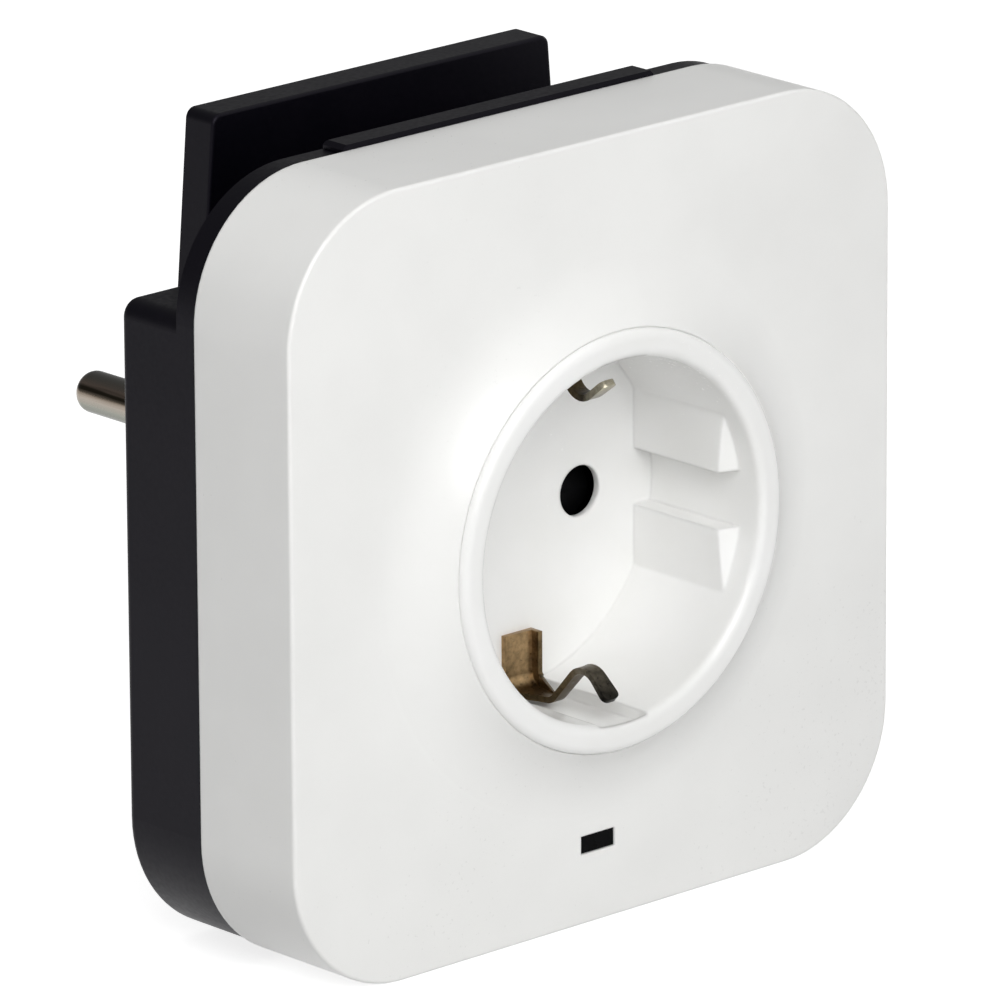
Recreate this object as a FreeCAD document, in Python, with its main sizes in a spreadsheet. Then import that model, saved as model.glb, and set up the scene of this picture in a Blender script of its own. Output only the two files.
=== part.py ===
import FreeCAD, Part
import Sketcher
import math
import os

# Plug-in charging module: a mains socket that plugs into a wall socket, with two
# charging ports and a slot that holds a phone upright behind its front cover.
# Sizes are in millimetres. X is to the right, Y goes into the wall and Z is up.
# Depths are measured from the front face of the cover. The finished pieces are
# shifted so that the origin is midway between the two plug pins, on the plug face.

# Every driving size: name, value and what it measures.
SIZES = [
    ("cover_width", 88.0, "front cover, side to side"),
    ("cover_height", 88.0, "front cover, bottom to top"),
    ("cover_corner", 15.5, "radius of the cover's four corners"),
    ("cover_depth", 15.0, "depth of the white side band"),
    ("cover_wall", 2.2, "wall of the cover"),
    ("cover_edge", 0.4, "rounding between the face and the band"),
    ("collar_foot", 31.5, "radius where the collar starts to rise from the face"),
    ("collar_rise", 3.7, "height of the collar above the face"),
    ("collar_land", 0.15, "width of the collar's flat top"),
    ("window_width", 5.0, "indicator window, side to side"),
    ("window_height", 2.1, "indicator window, bottom to top"),
    ("window_margin", 9.1, "indicator window above the cover's bottom edge"),
    ("window_recess", 0.15, "indicator window behind the face"),
    ("window_flange", 1.0, "flange round the window, behind the face"),
    ("recess_radius", 20.3, "radius of the socket recess"),
    ("recess_depth", 17.5, "depth of the recess from its rim"),
    ("rim_width", 3.2, "width of the ring round the recess"),
    ("rim_rise", 4.6, "height of the ring above the face"),
    ("rim_round", 1.0, "rounding of the ring's edges"),
    ("cup_wall", 2.1, "wall of the socket cup behind the ring"),
    ("cup_floor", 2.0, "floor of the socket cup"),
    ("cup_flange", 2.6, "width of the flange that holds the cup in the cover"),
    ("cup_flange_depth", 2.0, "thickness of that flange"),
    ("hook_width", 6.0, "width of the cover's four hooks that hold the cup"),
    ("hook_nose", 0.9, "how far a hook's nose grips over the flange"),
    ("hook_stem", 1.6, "thickness of a hook's stem"),
    ("guide_reach", 17.6, "guide blocks' flat faces from the socket axis"),
    ("guide_gap", 6.4, "gap between the upper and the lower guide block"),
    ("guide_setback", 2.3, "guide blocks' front end behind the rim's rounding"),
    ("guide_lead", 1.0, "depth of the lead-in on the guide blocks"),
    ("pin_pitch", 19.0, "distance between the two pins, and the two entry holes"),
    ("entry_radius", 2.9, "radius of the entry holes"),
    ("entry_land", 0.8, "straight part of the entry holes"),
    ("entry_flare", 4.2, "radius of the entry holes at the back of the floor"),
    ("clip_slot_width", 7.0, "groove in the recess wall behind an earth clip"),
    ("clip_slot_depth", 1.1, "depth of that groove"),
    ("clip_width", 1.8, "width of an earth clip"),
    ("clip_foot_width", 5.8, "width of an earth clip's foot"),
    ("clip_fold", 1.2, "folded edge along one side of that foot"),
    ("clip_thickness", 1.0, "thickness of an earth clip"),
    ("clip_foot_top", 14.0, "inner end of the foot from the socket axis"),
    ("clip_seat", 20.2, "outer face of a clip from the socket axis"),
    ("clip_apex", 14.7, "contact point of a clip from the socket axis"),
    ("clip_apex_depth", 1.1, "depth of that contact point behind the face"),
    ("clip_tip", 17.2, "front tip of a clip from the socket axis"),
    ("clip_tip_depth", -3.3, "depth of the front tip behind the face"),
    ("clip_run", 7.4, "depth where a clip starts to rise"),
    ("clip_tab_width", 3.0, "tab that joins a clip to the earth bracket"),
    ("bracket_width", 5.0, "width of the earth bracket"),
    ("housing_inset", 0.3, "black housing inside the cover's outline"),
    ("lip_depth", 3.2, "thickness of the wall in front of the phone slot"),
    ("housing_depth", 12.3, "depth of the black housing's sides"),
    ("housing_wall", 2.2, "wall of the black housing"),
    ("housing_edge", 1.0, "rounding of the black housing's back edge"),
    ("ledge_height", 29.4, "floor of the phone slot above the socket axis"),
    ("ledge_corner", 2.0, "rounding of the floor's two ends"),
    ("locating_rib", 2.0, "rib of the housing inside the cover"),
    ("rib_wall", 1.4, "wall of the locating rib"),
    ("lip_width", 45.4, "raised lip in front of the phone slot"),
    ("lip_proud", 0.65, "lip above the top of the cover"),
    ("lip_chamfer", 0.5, "chamfer on the lip's two ends"),
    ("apron_thickness", 1.2, "low wall of the housing in front of the lip"),
    ("apron_drop", 3.0, "top of that low wall below the top of the cover"),
    ("deck_thickness", 2.0, "deck round the charging ports"),
    ("well_width", 40.0, "opening under the deck for the ports"),
    ("rear_opening", 17.2, "radius of the opening in the housing's back wall"),
    ("clamp_wall", 1.4, "wall of the ring that clamps the plug body"),
    ("slot_width", 15.5, "phone slot, front to back"),
    ("plate_thickness", 4.4, "phone rest, front to back"),
    ("plate_top", 44.7, "top of the phone rest above the socket axis"),
    ("plate_foot", 33.0, "bottom of the rear cover below the socket axis"),
    ("plate_top_width", 49.1, "phone rest, width at its top"),
    ("plate_foot_width", 61.7, "rear cover, width at its bottom"),
    ("plate_corner", 1.2, "rounding of the phone rest's top corners"),
    ("plate_foot_corner", 5.0, "rounding of the rear cover's bottom corners"),
    ("rear_wall", 2.2, "wall of the rear cover"),
    ("rib_thickness", 1.2, "stiffening ribs behind the phone rest"),
    ("boss_radius", 18.7, "radius of the plug body"),
    ("boss_reach", 16.0, "plug body, wall side to plug face"),
    ("boss_flat", 17.2, "plug body's guide flats from its axis"),
    ("boss_rib", 6.0, "width of the rib between the guide flats"),
    ("boss_flange", 2.6, "width of the plug body's flange"),
    ("boss_flange_depth", 1.6, "thickness of the plug body's flange"),
    ("boss_solid", 10.0, "solid front part of the plug body"),
    ("boss_edge", 1.0, "rounding of the plug face"),
    ("boss_bore", 14.4, "radius of the hollow in the plug body"),
    ("boss_mouth", 16.5, "radius of that hollow's mouth"),
    ("boss_mouth_depth", 2.6, "depth of that mouth"),
    ("earth_groove_width", 7.0, "groove for an earth strip on the plug body"),
    ("earth_groove_depth", 2.6, "depth of that groove"),
    ("earth_strip_width", 5.6, "earth strip on the plug body"),
    ("earth_strip_thickness", 0.9, "thickness of that earth strip"),
    ("earth_strip_bow", 0.9, "how far the earth strip bows out of its groove"),
    ("earth_strip_setback", 0.8, "earth strip's cross-piece behind the wall side"),
    ("earth_entry_radius", 3.0, "entry for an earth pin in the plug face"),
    ("earth_sleeve_bore", 2.5, "bore of the sleeve in that entry"),
    ("earth_entry_drop", 10.0, "that entry below the plug pins"),
    ("pin_radius", 2.4, "radius of a plug pin"),
    ("pin_length", 19.0, "plug pin in front of the plug face"),
    ("pin_tip", 1.6, "rounding of a plug pin's tip"),
    ("pin_root", 2.7, "radius of a plug pin where it sits in the plug body"),
    ("pin_collar", 0.8, "collar of a plug pin round its shank"),
    ("pin_collar_length", 3.0, "length of that collar"),
    ("pin_rise", 2.6, "plug pins above the socket axis"),
    ("shutter_gap", 0.3, "clearance on each side of the safety shutter"),
    ("shutter_thickness", 2.4, "thickness of the safety shutter"),
    ("shutter_lobe", 3.4, "radius of the shutter's two lobes"),
    ("shutter_hub", 4.2, "radius of the shutter's hub"),
    ("shutter_arm", 4.4, "width of the shutter's arms"),
    ("pivot_radius", 1.6, "pivot post of the safety shutter"),
    ("pivot_clearance", 0.06, "clearance between post and hub"),
    ("carrier_width", 34.0, "carrier behind the shutter, side to side"),
    ("carrier_height", 24.0, "carrier behind the shutter, bottom to top"),
    ("carrier_thickness", 1.6, "thickness of the carrier"),
    ("carrier_leg", 1.5, "radius of the carrier's four legs"),
    ("spring_wire", 0.4, "wire of the shutter spring"),
    ("spring_radius", 2.3, "mean radius of the shutter spring"),
    ("spring_turns", 1.5, "turns of the shutter spring"),
    ("spring_pocket_radius", 3.2, "pocket for the spring in the shutter's hub"),
    ("spring_pocket_depth", 1.1, "depth of that pocket"),
    ("contact_bore", 2.3, "bore of a contact sleeve"),
    ("contact_wall", 0.8, "wall of a contact sleeve"),
    ("contact_slit", 0.8, "slit along a contact sleeve"),
    ("contact_length", 12.3, "length of a contact sleeve"),
    ("base_thickness", 0.8, "sheet of the contact bases and straps"),
    ("base_width", 8.0, "width of a contact base"),
    ("base_drop", 7.0, "lower end of a contact base below the socket axis"),
    ("strap_width", 4.0, "width of the straps to the circuit board"),
    ("strap_knee", 12.0, "lowest point of a strap inside the rear opening"),
    ("board_thickness", 1.6, "thickness of the circuit boards"),
    ("board_height", 15.0, "main board, bottom to top"),
    ("board_margin", 4.5, "main board inside the cover's sides"),
    ("standoff", 1.2, "main board in front of the housing's back wall"),
    ("transformer_margin", 15.5, "transformer from the left end of the main board"),
    ("transformer_width", 15.0, "transformer core, side to side"),
    ("transformer_height", 13.0, "transformer core, bottom to top"),
    ("transformer_depth", 12.0, "transformer core in front of the board"),
    ("input_can_radius", 5.0, "radius of the input capacitor"),
    ("input_can_length", 14.0, "length of the input capacitor"),
    ("output_can_radius", 3.15, "radius of the two output capacitors"),
    ("output_can_length", 7.0, "length of the two output capacitors"),
    ("varistor_radius", 5.6, "radius of a varistor's disc"),
    ("varistor_thickness", 4.2, "thickness of that disc"),
    ("varistor_pitch", 4.8, "distance from one varistor to the next"),
    ("fuse_margin", 9.0, "thermal fuse from the right end of the main board"),
    ("port_width", 13.1, "charging port shell, side to side"),
    ("port_thickness", 5.7, "charging port shell, front to back"),
    ("port_length", 14.0, "charging port shell, bottom to top"),
    ("port_sheet", 0.3, "sheet of the port shell"),
    ("port_pitch", 22.0, "distance between the two charging ports"),
    ("tongue_thickness", 1.84, "plastic tongue inside a port"),
    ("tongue_width", 11.0, "width of that tongue"),
    ("tongue_length", 9.0, "length of that tongue"),
    ("port_board_width", 40.0, "port board, side to side"),
    ("screw_x_top", 21.5, "upper housing screws from the middle"),
    ("screw_z_top", 20.5, "upper housing screws above the socket axis"),
    ("screw_x_foot", 25.0, "lower housing screws from the middle"),
    ("screw_foot_margin", 23.0, "lower housing screws above the cover's bottom edge"),
    ("screw_radius", 1.4, "shank of a housing screw"),
    ("screw_head", 2.8, "head radius of a housing screw"),
    ("screw_head_height", 2.0, "head of a housing screw"),
    ("screw_sink", 5.2, "counterbore above a housing screw"),
    ("screw_bite", 6.0, "length of a housing screw inside the cover"),
    ("post_wall", 1.7, "wall of the screw posts"),
    ("fit_gap", 0.1, "general clearance between pieces that sit in each other"),
    ("seam", 0.02, "visible seam between ring and collar"),
]


class Dim:
    """A length with its present value and the formula that ties it to the sizes."""

    def __init__(self, value, text):
        self.value = float(value)
        self.text = text

    def __add__(self, other):
        other = dim(other)
        return Dim(self.value + other.value, f"({self.text} + {other.text})")

    def __sub__(self, other):
        other = dim(other)
        return Dim(self.value - other.value, f"({self.text} - {other.text})")

    def __mul__(self, other):
        other = dim(other)
        return Dim(self.value * other.value, f"({self.text} * {other.text})")

    def __truediv__(self, other):
        other = dim(other)
        return Dim(self.value / other.value, f"({self.text} / {other.text})")

    def __neg__(self):
        return Dim(-self.value, f"(0 - {self.text})")

    def __radd__(self, other):
        return dim(other) + self

    def __rsub__(self, other):
        return dim(other) - self

    def __rmul__(self, other):
        return dim(other) * self


def dim(value):
    """Take a plain number as a length."""
    if isinstance(value, Dim):
        return value
    return Dim(value, f"({float(value):.6f})")


def root(value):
    """Square root of a length product."""
    return Dim(math.sqrt(value.value), f"sqrt({value.text})")


doc = FreeCAD.newDocument("charging_module")
sheet = doc.addObject("Spreadsheet::Sheet", "Sizes")
for row, (alias, value, meaning) in enumerate(SIZES, 1):
    sheet.set(f"A{row}", meaning)
    sheet.set(f"B{row}", str(value))
    sheet.setAlias(f"B{row}", alias)
doc.recompute()
size = {alias: Dim(sheet.get(alias), f"Sizes.{alias}") for alias, value, meaning in SIZES}

# Depths behind the front face, front to back
back_of_face = size["cover_wall"]
cup_rim = -size["rim_rise"]
cup_floor_front = size["recess_depth"] - size["rim_rise"]
cup_floor_back = cup_floor_front + size["cup_floor"]
slot_front = size["cover_depth"] + size["lip_depth"]
apron_back = size["cover_depth"] + size["apron_thickness"]
housing_back = size["cover_depth"] + size["housing_depth"]
housing_inner = housing_back - size["housing_wall"]
plate_front = slot_front + size["slot_width"]
wall_side = plate_front + size["plate_thickness"]
rear_inner = wall_side - size["rear_wall"]
plug_face = wall_side + size["boss_reach"]
shutter_front = cup_floor_back + size["shutter_gap"]
shutter_back = shutter_front + size["shutter_thickness"]
carrier_front = shutter_back + size["shutter_gap"]
carrier_back = carrier_front + size["carrier_thickness"]
contact_front = carrier_back + size["shutter_gap"]
contact_back = contact_front + size["contact_length"]
base_back = contact_back + size["base_thickness"]
board_back = housing_inner - size["standoff"]
board_front = board_back - size["board_thickness"]

# Radii and half sizes that several pieces share
ring_radius = size["recess_radius"] + size["rim_width"]
cup_radius = size["recess_radius"] + size["cup_wall"]
cover_half_width = size["cover_width"] / 2
cover_half_height = size["cover_height"] / 2
apron_top = cover_half_height - size["apron_drop"]
housing_half_width = cover_half_width - size["housing_inset"]
housing_half_height = cover_half_height - size["housing_inset"]
housing_corner = size["cover_corner"] - size["housing_inset"]
pin_x = size["pin_pitch"] / 2
screw_hole = size["screw_radius"] + size["fit_gap"]
post_radius = screw_hole + size["post_wall"]
screw_foot_z = size["screw_foot_margin"] - cover_half_height
screw_places = [(-size["screw_x_top"], size["screw_z_top"]), (size["screw_x_top"], size["screw_z_top"]),
                (-size["screw_x_foot"], screw_foot_z), (size["screw_x_foot"], screw_foot_z)]
window_z = size["window_margin"] - cover_half_height

# Space inside the housing: it follows the cover's outline inside the locating rib
inside = size["cover_wall"] + size["fit_gap"] + size["rib_wall"]
inner_half_width = cover_half_width - inside
inner_half_height = cover_half_height - inside
inner_corner = size["cover_corner"] - inside

# Main board: it fills the space under the socket cup
board_half_width = cover_half_width - size["board_margin"]
board_foot = size["board_margin"] - cover_half_height
board_top = board_foot + size["board_height"]
board_middle = board_foot + size["board_height"] / 2
board_screw_x = board_half_width - 3.5
board_screw_z = board_top - 2.6
fuse_x = board_half_width - size["fuse_margin"]
input_can_x = size["input_can_radius"] + 3.5 - board_half_width
input_can_z = board_foot + size["input_can_radius"] + 1.5
output_can_x = size["window_width"] / 2 + size["output_can_radius"] + 0.6
output_can_z = board_foot + size["output_can_radius"] + 0.65

# Plug body and the earth strip in it
boss_flange_front = rear_inner - size["boss_flange_depth"]
boss_solid_front = plug_face - size["boss_solid"]
earth_cross_front = wall_side + size["earth_strip_setback"]
earth_cross_back = earth_cross_front + size["earth_strip_thickness"]

# Charging ports: they stand behind the lip, with their mouths level with the slot's floor
port_front = slot_front + 0.5
port_middle = port_front + size["port_thickness"] / 2
port_back = port_front + size["port_thickness"]
port_foot = size["ledge_height"] - size["port_length"]
port_places = [-(size["port_pitch"] / 2), size["port_pitch"] / 2]


def bind(thing, path, length):
    """Tie one property of a document object to its formula."""
    thing.setExpression(path, dim(length).text)


def new_body(label):
    """Start one piece; it is shifted so that the origin lies between the plug pins."""
    body = doc.addObject("PartDesign::Body", label)
    body.Label = label
    body.AllowCompound = True
    bind(body, "Placement.Base.y", -plug_face)
    bind(body, "Placement.Base.z", -size["pin_rise"])
    return body


def origin_plane(body, role):
    """One of the body's own origin planes."""
    return [item for item in body.Origin.OriginFeatures if item.Role == role][0]


class Outline:
    """A sketch on one of the body's planes, with every point held by formulas."""

    def __init__(self, body, name, role="XZ_Plane", level=0.0, shift=0.0, lift=0.0):
        self.body = body
        self.sketch = body.newObject("Sketcher::SketchObject", name)
        self.sketch.AttachmentSupport = [(origin_plane(body, role), "")]
        self.sketch.MapMode = "FlatFace"
        bind(self.sketch, "AttachmentOffset.Base.x", shift)
        bind(self.sketch, "AttachmentOffset.Base.y", lift)
        bind(self.sketch, "AttachmentOffset.Base.z", -dim(level) if role == "XZ_Plane" else dim(level))

    def hold(self, kind, edge, corner, length):
        """Hold one coordinate of a point at its formula."""
        length = dim(length)
        index = self.sketch.addConstraint(Sketcher.Constraint(kind, -1, 1, edge, corner, length.value))
        bind(self.sketch, f"Constraints[{index}]", length)

    def hold_radius(self, edge, length):
        index = self.sketch.addConstraint(Sketcher.Constraint("Radius", edge, length.value))
        bind(self.sketch, f"Constraints[{index}]", length)

    def circle(self, across, up, radius):
        across, up, radius = dim(across), dim(up), dim(radius)
        centre = FreeCAD.Vector(across.value, up.value, 0)
        edge = self.sketch.addGeometry(Part.Circle(centre, FreeCAD.Vector(0, 0, 1), radius.value))
        self.hold_radius(edge, radius)
        self.hold("DistanceX", edge, 3, across)
        self.hold("DistanceY", edge, 3, up)
        return self

    def loop(self, points):
        """A closed outline. A point may carry the radius of the arc that leads to the next
        point: positive where the outline bulges to the right of its way, negative to the left."""
        ends = []
        edges = []
        for number, point in enumerate(points):
            following = points[(number + 1) % len(points)]
            start = FreeCAD.Vector(dim(point[0]).value, dim(point[1]).value, 0)
            end = FreeCAD.Vector(dim(following[0]).value, dim(following[1]).value, 0)
            if len(point) == 2:
                edge = self.sketch.addGeometry(Part.LineSegment(start, end))
                ends.append((1, 2))
            else:
                edge, order = self.arc(start, end, dim(point[2]))
                ends.append(order)
            edges.append(edge)
        for number, point in enumerate(points):
            following = (number + 1) % len(points)
            joint = Sketcher.Constraint("Coincident", edges[number], ends[number][1],
                                        edges[following], ends[following][0])
            self.sketch.addConstraint(joint)
            self.hold("DistanceX", edges[number], ends[number][0], point[0])
            self.hold("DistanceY", edges[number], ends[number][0], point[1])
            if len(point) == 3:
                self.hold_radius(edges[number], Dim(abs(dim(point[2]).value), f"abs({dim(point[2]).text})"))
        return self

    def arc(self, start, end, radius):
        """Draw the shorter arc between two points; returns its edge and which end comes first."""
        chord = end - start
        half = chord.Length / 2
        rise = math.sqrt(max(radius.value ** 2 - half ** 2, 0.0))
        left = FreeCAD.Vector(-chord.y, chord.x, 0).normalize()
        side = 1 if radius.value > 0 else -1
        centre = (start + end) * 0.5 + left * (rise * side)
        first, second = (start, end) if side > 0 else (end, start)
        angles = [math.atan2(point.y - centre.y, point.x - centre.x) for point in (first, second)]
        if angles[1] < angles[0]:
            angles[1] += 2 * math.pi
        circle = Part.Circle(centre, FreeCAD.Vector(0, 0, 1), abs(radius.value))
        edge = self.sketch.addGeometry(Part.ArcOfCircle(circle, angles[0], angles[1]))
        return edge, ((1, 2) if side > 0 else (2, 1))

    def box(self, left, foot, right, top, corner=None):
        """A rectangle from its two corners, with rounded corners if a radius is given."""
        if corner is None:
            return self.loop([(left, foot), (right, foot), (right, top), (left, top)])
        return self.loop([(left + corner, foot), (right - corner, foot, corner),
                          (right, foot + corner), (right, top - corner, corner),
                          (right - corner, top), (left + corner, top, corner),
                          (left, top - corner), (left, foot + corner, corner)])


def feature(outline, kind, name):
    item = outline.body.newObject(kind, name)
    item.Profile = outline.sketch
    return item


def pad(outline, name, length):
    """Grow an outline backwards, away from the viewer."""
    item = feature(outline, "PartDesign::Pad", name)
    item.Reversed = True
    bind(item, "Length", length)
    return item


def cut(outline, name, length):
    """Cut an outline backwards, away from the viewer."""
    item = feature(outline, "PartDesign::Pocket", name)
    bind(item, "Length", length)
    return item


def pad_across(outline, name, length):
    """Grow a side view or a top view equally to both sides."""
    item = feature(outline, "PartDesign::Pad", name)
    item.SideType = "Symmetric"
    bind(item, "Length", length)
    return item


def cut_across(outline, name, length):
    item = feature(outline, "PartDesign::Pocket", name)
    item.SideType = "Symmetric"
    bind(item, "Length", length)
    return item


def turn(outline, name):
    """Turn a half section round the depth axis of its sketch."""
    item = feature(outline, "PartDesign::Revolution", name)
    item.ReferenceAxis = (outline.sketch, ["V_Axis"])
    item.Angle = 360
    return item


def turn_away(outline, name):
    item = feature(outline, "PartDesign::Groove", name)
    item.ReferenceAxis = (outline.sketch, ["V_Axis"])
    item.Angle = 360
    return item


def edges_where(shape, test):
    """Names of the edges whose points all pass a test."""
    names = []
    for number, edge in enumerate(shape.Edges, 1):
        points = edge.discretize(5)
        if all(test(point) for point in points):
            names.append(f"Edge{number}")
    return names


def round_edges(body, name, test, radius):
    """Round the edges of the newest feature that pass a test."""
    doc.recompute()
    base = body.Tip
    names = edges_where(base.Shape, test)
    item = body.newObject("PartDesign::Fillet", name)
    item.Base = (base, names)
    bind(item, "Radius", radius)
    return item


def near(value, length, slack=0.01):
    return abs(value - dim(length).value) < slack


def front_cover():
    """White moulded cover: a shallow tray with a flared collar round the socket."""
    body = new_body("front_cover")
    outer = Outline(body, "cover_outline")
    outer.box(-cover_half_width, -cover_half_height, cover_half_width, cover_half_height, size["cover_corner"])
    pad(outer, "cover_block", size["cover_depth"])
    round_edges(body, "face_edge", lambda point: near(point.y, 0), size["cover_edge"])
    inner_corner = size["cover_corner"] - size["cover_wall"]
    inner = Outline(body, "cover_hollow_outline", level=back_of_face)
    inner.box(size["cover_wall"] - cover_half_width, size["cover_wall"] - cover_half_height,
              cover_half_width - size["cover_wall"], cover_half_height - size["cover_wall"], inner_corner)
    cut(inner, "cover_hollow", size["cover_depth"])
    bore = ring_radius + size["seam"]
    brow = bore + size["collar_land"]
    run = size["collar_foot"] - brow
    sweep = (run * run + size["collar_rise"] * size["collar_rise"]) / (2 * size["collar_rise"])
    collar = Outline(body, "collar_section", role="XY_Plane")
    collar.loop([(bore - 1, back_of_face), (size["collar_foot"], back_of_face), (size["collar_foot"], 0, sweep),
                 (brow, -size["collar_rise"]), (bore - 1, -size["collar_rise"])])
    turn(collar, "collar")
    outer_sweep = sweep + size["cover_wall"]
    reach = size["collar_foot"] - bore - size["cover_wall"]
    relief_depth = root(outer_sweep * outer_sweep - reach * reach) - sweep
    relief = Outline(body, "collar_relief_section", role="XY_Plane")
    relief.loop([(bore + size["cover_wall"], back_of_face + 1), (size["collar_foot"], back_of_face + 1),
                 (size["collar_foot"], back_of_face, outer_sweep), (bore + size["cover_wall"], relief_depth)])
    turn_away(relief, "collar_relief")
    opening = Outline(body, "socket_opening_outline", level=-size["collar_rise"] - 1)
    opening.circle(0, 0, bore)
    cut(opening, "socket_opening", size["collar_rise"] + size["cover_wall"] + 2)
    window = Outline(body, "window_outline", level=-1)
    half = size["window_width"] / 2
    window.box(-half, window_z - size["window_height"] / 2,
               half, window_z + size["window_height"] / 2)
    cut(window, "window_opening", size["cover_wall"] + 2)
    posts = Outline(body, "cover_posts_outline", level=back_of_face - 0.5)
    for across, up in screw_places:
        posts.circle(across, up, post_radius)
    pad(posts, "cover_posts", size["cover_depth"] - back_of_face + 0.5)
    holes = Outline(body, "cover_pilot_holes_outline", level=size["cover_depth"] - size["screw_bite"] - 0.5)
    for across, up in screw_places:
        holes.circle(across, up, size["screw_radius"] + 0.02)
    cut(holes, "cover_pilot_holes", size["screw_bite"] + 1)
    flange = ring_radius + size["cup_flange"]
    stem_front = back_of_face - 1.6
    nose_front = back_of_face + size["cup_flange_depth"]
    stems = Outline(body, "hook_stems_outline", level=stem_front)
    hooks_round_axis(stems, flange + size["fit_gap"], flange + size["fit_gap"] + size["hook_stem"])
    pad(stems, "hook_stems", nose_front - stem_front + 0.3)
    noses = Outline(body, "hook_noses_outline", level=nose_front)
    hooks_round_axis(noses, flange - size["hook_nose"], flange + size["fit_gap"] + size["hook_stem"])
    pad(noses, "hook_noses", 1.2)


def hooks_round_axis(outline, inner, outer):
    """Four rectangles round the socket axis, above, below, left and right of it."""
    half = size["hook_width"] / 2
    outline.box(-half, inner, half, outer)
    outline.box(-half, -outer, half, -inner)
    outline.box(inner, -half, outer, half)
    outline.box(-outer, -half, -inner, half)


def socket_cup():
    """White insert: the ring, the recess with its four guide blocks and the floor."""
    body = new_body("socket_cup")
    flange_front = back_of_face
    flange_back = flange_front + size["cup_flange_depth"]
    flange_radius = ring_radius + size["cup_flange"]
    section = Outline(body, "cup_section", role="XY_Plane")
    section.loop([(0, cup_rim), (ring_radius - size["rim_round"], cup_rim, size["rim_round"]),
                  (ring_radius, cup_rim + size["rim_round"]), (ring_radius, flange_front),
                  (flange_radius, flange_front), (flange_radius, flange_back), (cup_radius, flange_back),
                  (cup_radius, cup_floor_back), (0, cup_floor_back)])
    turn(section, "cup_form")
    lead = Outline(body, "lead_in_section", role="XY_Plane")
    guide_front = cup_rim + size["rim_round"] + size["guide_setback"]
    slope = (size["recess_radius"] - size["guide_reach"]) / size["guide_lead"]
    end = guide_front + size["guide_lead"] + 0.5
    lead.loop([(0, cup_rim - 1), (size["recess_radius"] + size["rim_round"], cup_rim - 1),
               (size["recess_radius"] + size["rim_round"], cup_rim, -size["rim_round"]),
               (size["recess_radius"], cup_rim + size["rim_round"]), (size["recess_radius"], guide_front),
               (size["guide_reach"] - 0.5 * slope, end), (0, end)])
    turn_away(lead, "lead_in")
    reach = size["guide_reach"]
    gap = size["guide_gap"] / 2
    bore = size["recess_radius"]
    wall_at_gap = root(bore * bore - gap * gap)
    top_of_block = root(bore * bore - reach * reach)
    recess = Outline(body, "recess_outline", level=cup_rim)
    recess.loop([(reach, -top_of_block), (reach, -gap), (wall_at_gap, -gap, bore), (wall_at_gap, gap), (reach, gap),
                 (reach, top_of_block, bore), (-reach, top_of_block), (-reach, gap), (-wall_at_gap, gap, bore),
                 (-wall_at_gap, -gap), (-reach, -gap), (-reach, -top_of_block, bore)])
    cut(recess, "recess", size["recess_depth"])
    slots = Outline(body, "clip_slots_outline", level=size["clip_tip_depth"] - 0.8)
    half = size["clip_slot_width"] / 2
    floor_of_slot = size["recess_radius"] + size["clip_slot_depth"]
    slots.box(-half, bore - 1.5, half, floor_of_slot)
    slots.box(-half, -floor_of_slot, half, 1.5 - bore)
    cut(slots, "clip_slots", cup_floor_front - size["clip_tip_depth"] + 0.8)
    holes = Outline(body, "entry_holes_outline", level=cup_floor_front - 1)
    for across in (-pin_x, pin_x):
        holes.circle(across, 0, size["entry_radius"])
    cut(holes, "entry_holes", size["cup_floor"] + 2)
    straight_end = cup_floor_front + size["entry_land"]
    for across, name in ((-pin_x, "left"), (pin_x, "right")):
        flare = Outline(body, f"entry_flare_{name}_section", role="XY_Plane", shift=across)
        flare.loop([(0, straight_end), (size["entry_radius"], straight_end), (size["entry_flare"], cup_floor_back),
                    (size["entry_flare"], cup_floor_back + 1), (0, cup_floor_back + 1)])
        turn_away(flare, f"entry_flare_{name}")
    tabs = Outline(body, "tab_slots_outline", level=cup_floor_front - 1)
    tab_half = size["clip_tab_width"] / 2 + size["fit_gap"]
    low, high = tab_span(size["fit_gap"])
    tabs.box(-tab_half, low, tab_half, high)
    tabs.box(-tab_half, -high, tab_half, -low)
    cut(tabs, "tab_slots", size["cup_floor"] + 2)


def tab_span(gap):
    """Inner and outer edge of the tab that holds an earth clip, from the socket axis."""
    inner = size["clip_foot_top"] + 1.6
    outer = inner + size["clip_thickness"]
    return inner - gap, outer + gap


def led_window():
    """Dark lens of the indicator, held behind the face by its flange."""
    body = new_body("led_window")
    half = size["window_width"] / 2 - size["fit_gap"]
    tall = size["window_height"] / 2 - size["fit_gap"]
    lens = Outline(body, "lens_outline", level=size["window_recess"])
    lens.box(-half, window_z - tall, half, window_z + tall)
    pad(lens, "lens", back_of_face - size["window_recess"] + 0.5)
    flange = Outline(body, "lens_flange_outline", level=back_of_face)
    wide = half + size["window_flange"]
    high = tall + size["window_flange"]
    flange.box(-wide, window_z - high, wide, window_z + high)
    pad(flange, "lens_flange", 1.0)


def light_pipe():
    """Clear bar that carries light from the indicator on the board to the window."""
    body = new_body("light_pipe")
    front = back_of_face + 1.0
    half = size["window_width"] / 2 - size["fit_gap"]
    tall = size["window_height"] / 2 + 0.4
    bar = Outline(body, "pipe_outline", level=front)
    bar.box(-half, window_z - tall, half, window_z + tall, dim(0.4))
    pad(bar, "pipe", board_front - 1.4 - front)


def indicator_led():
    """Small lamp on the main board, in line with the window."""
    body = new_body("indicator_led")
    lamp = Outline(body, "lamp_outline", level=board_front - 1.4)
    lamp.box(dim(-1.7), window_z - 0.9, dim(1.7), window_z + 0.9)
    pad(lamp, "lamp", 1.4)


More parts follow.
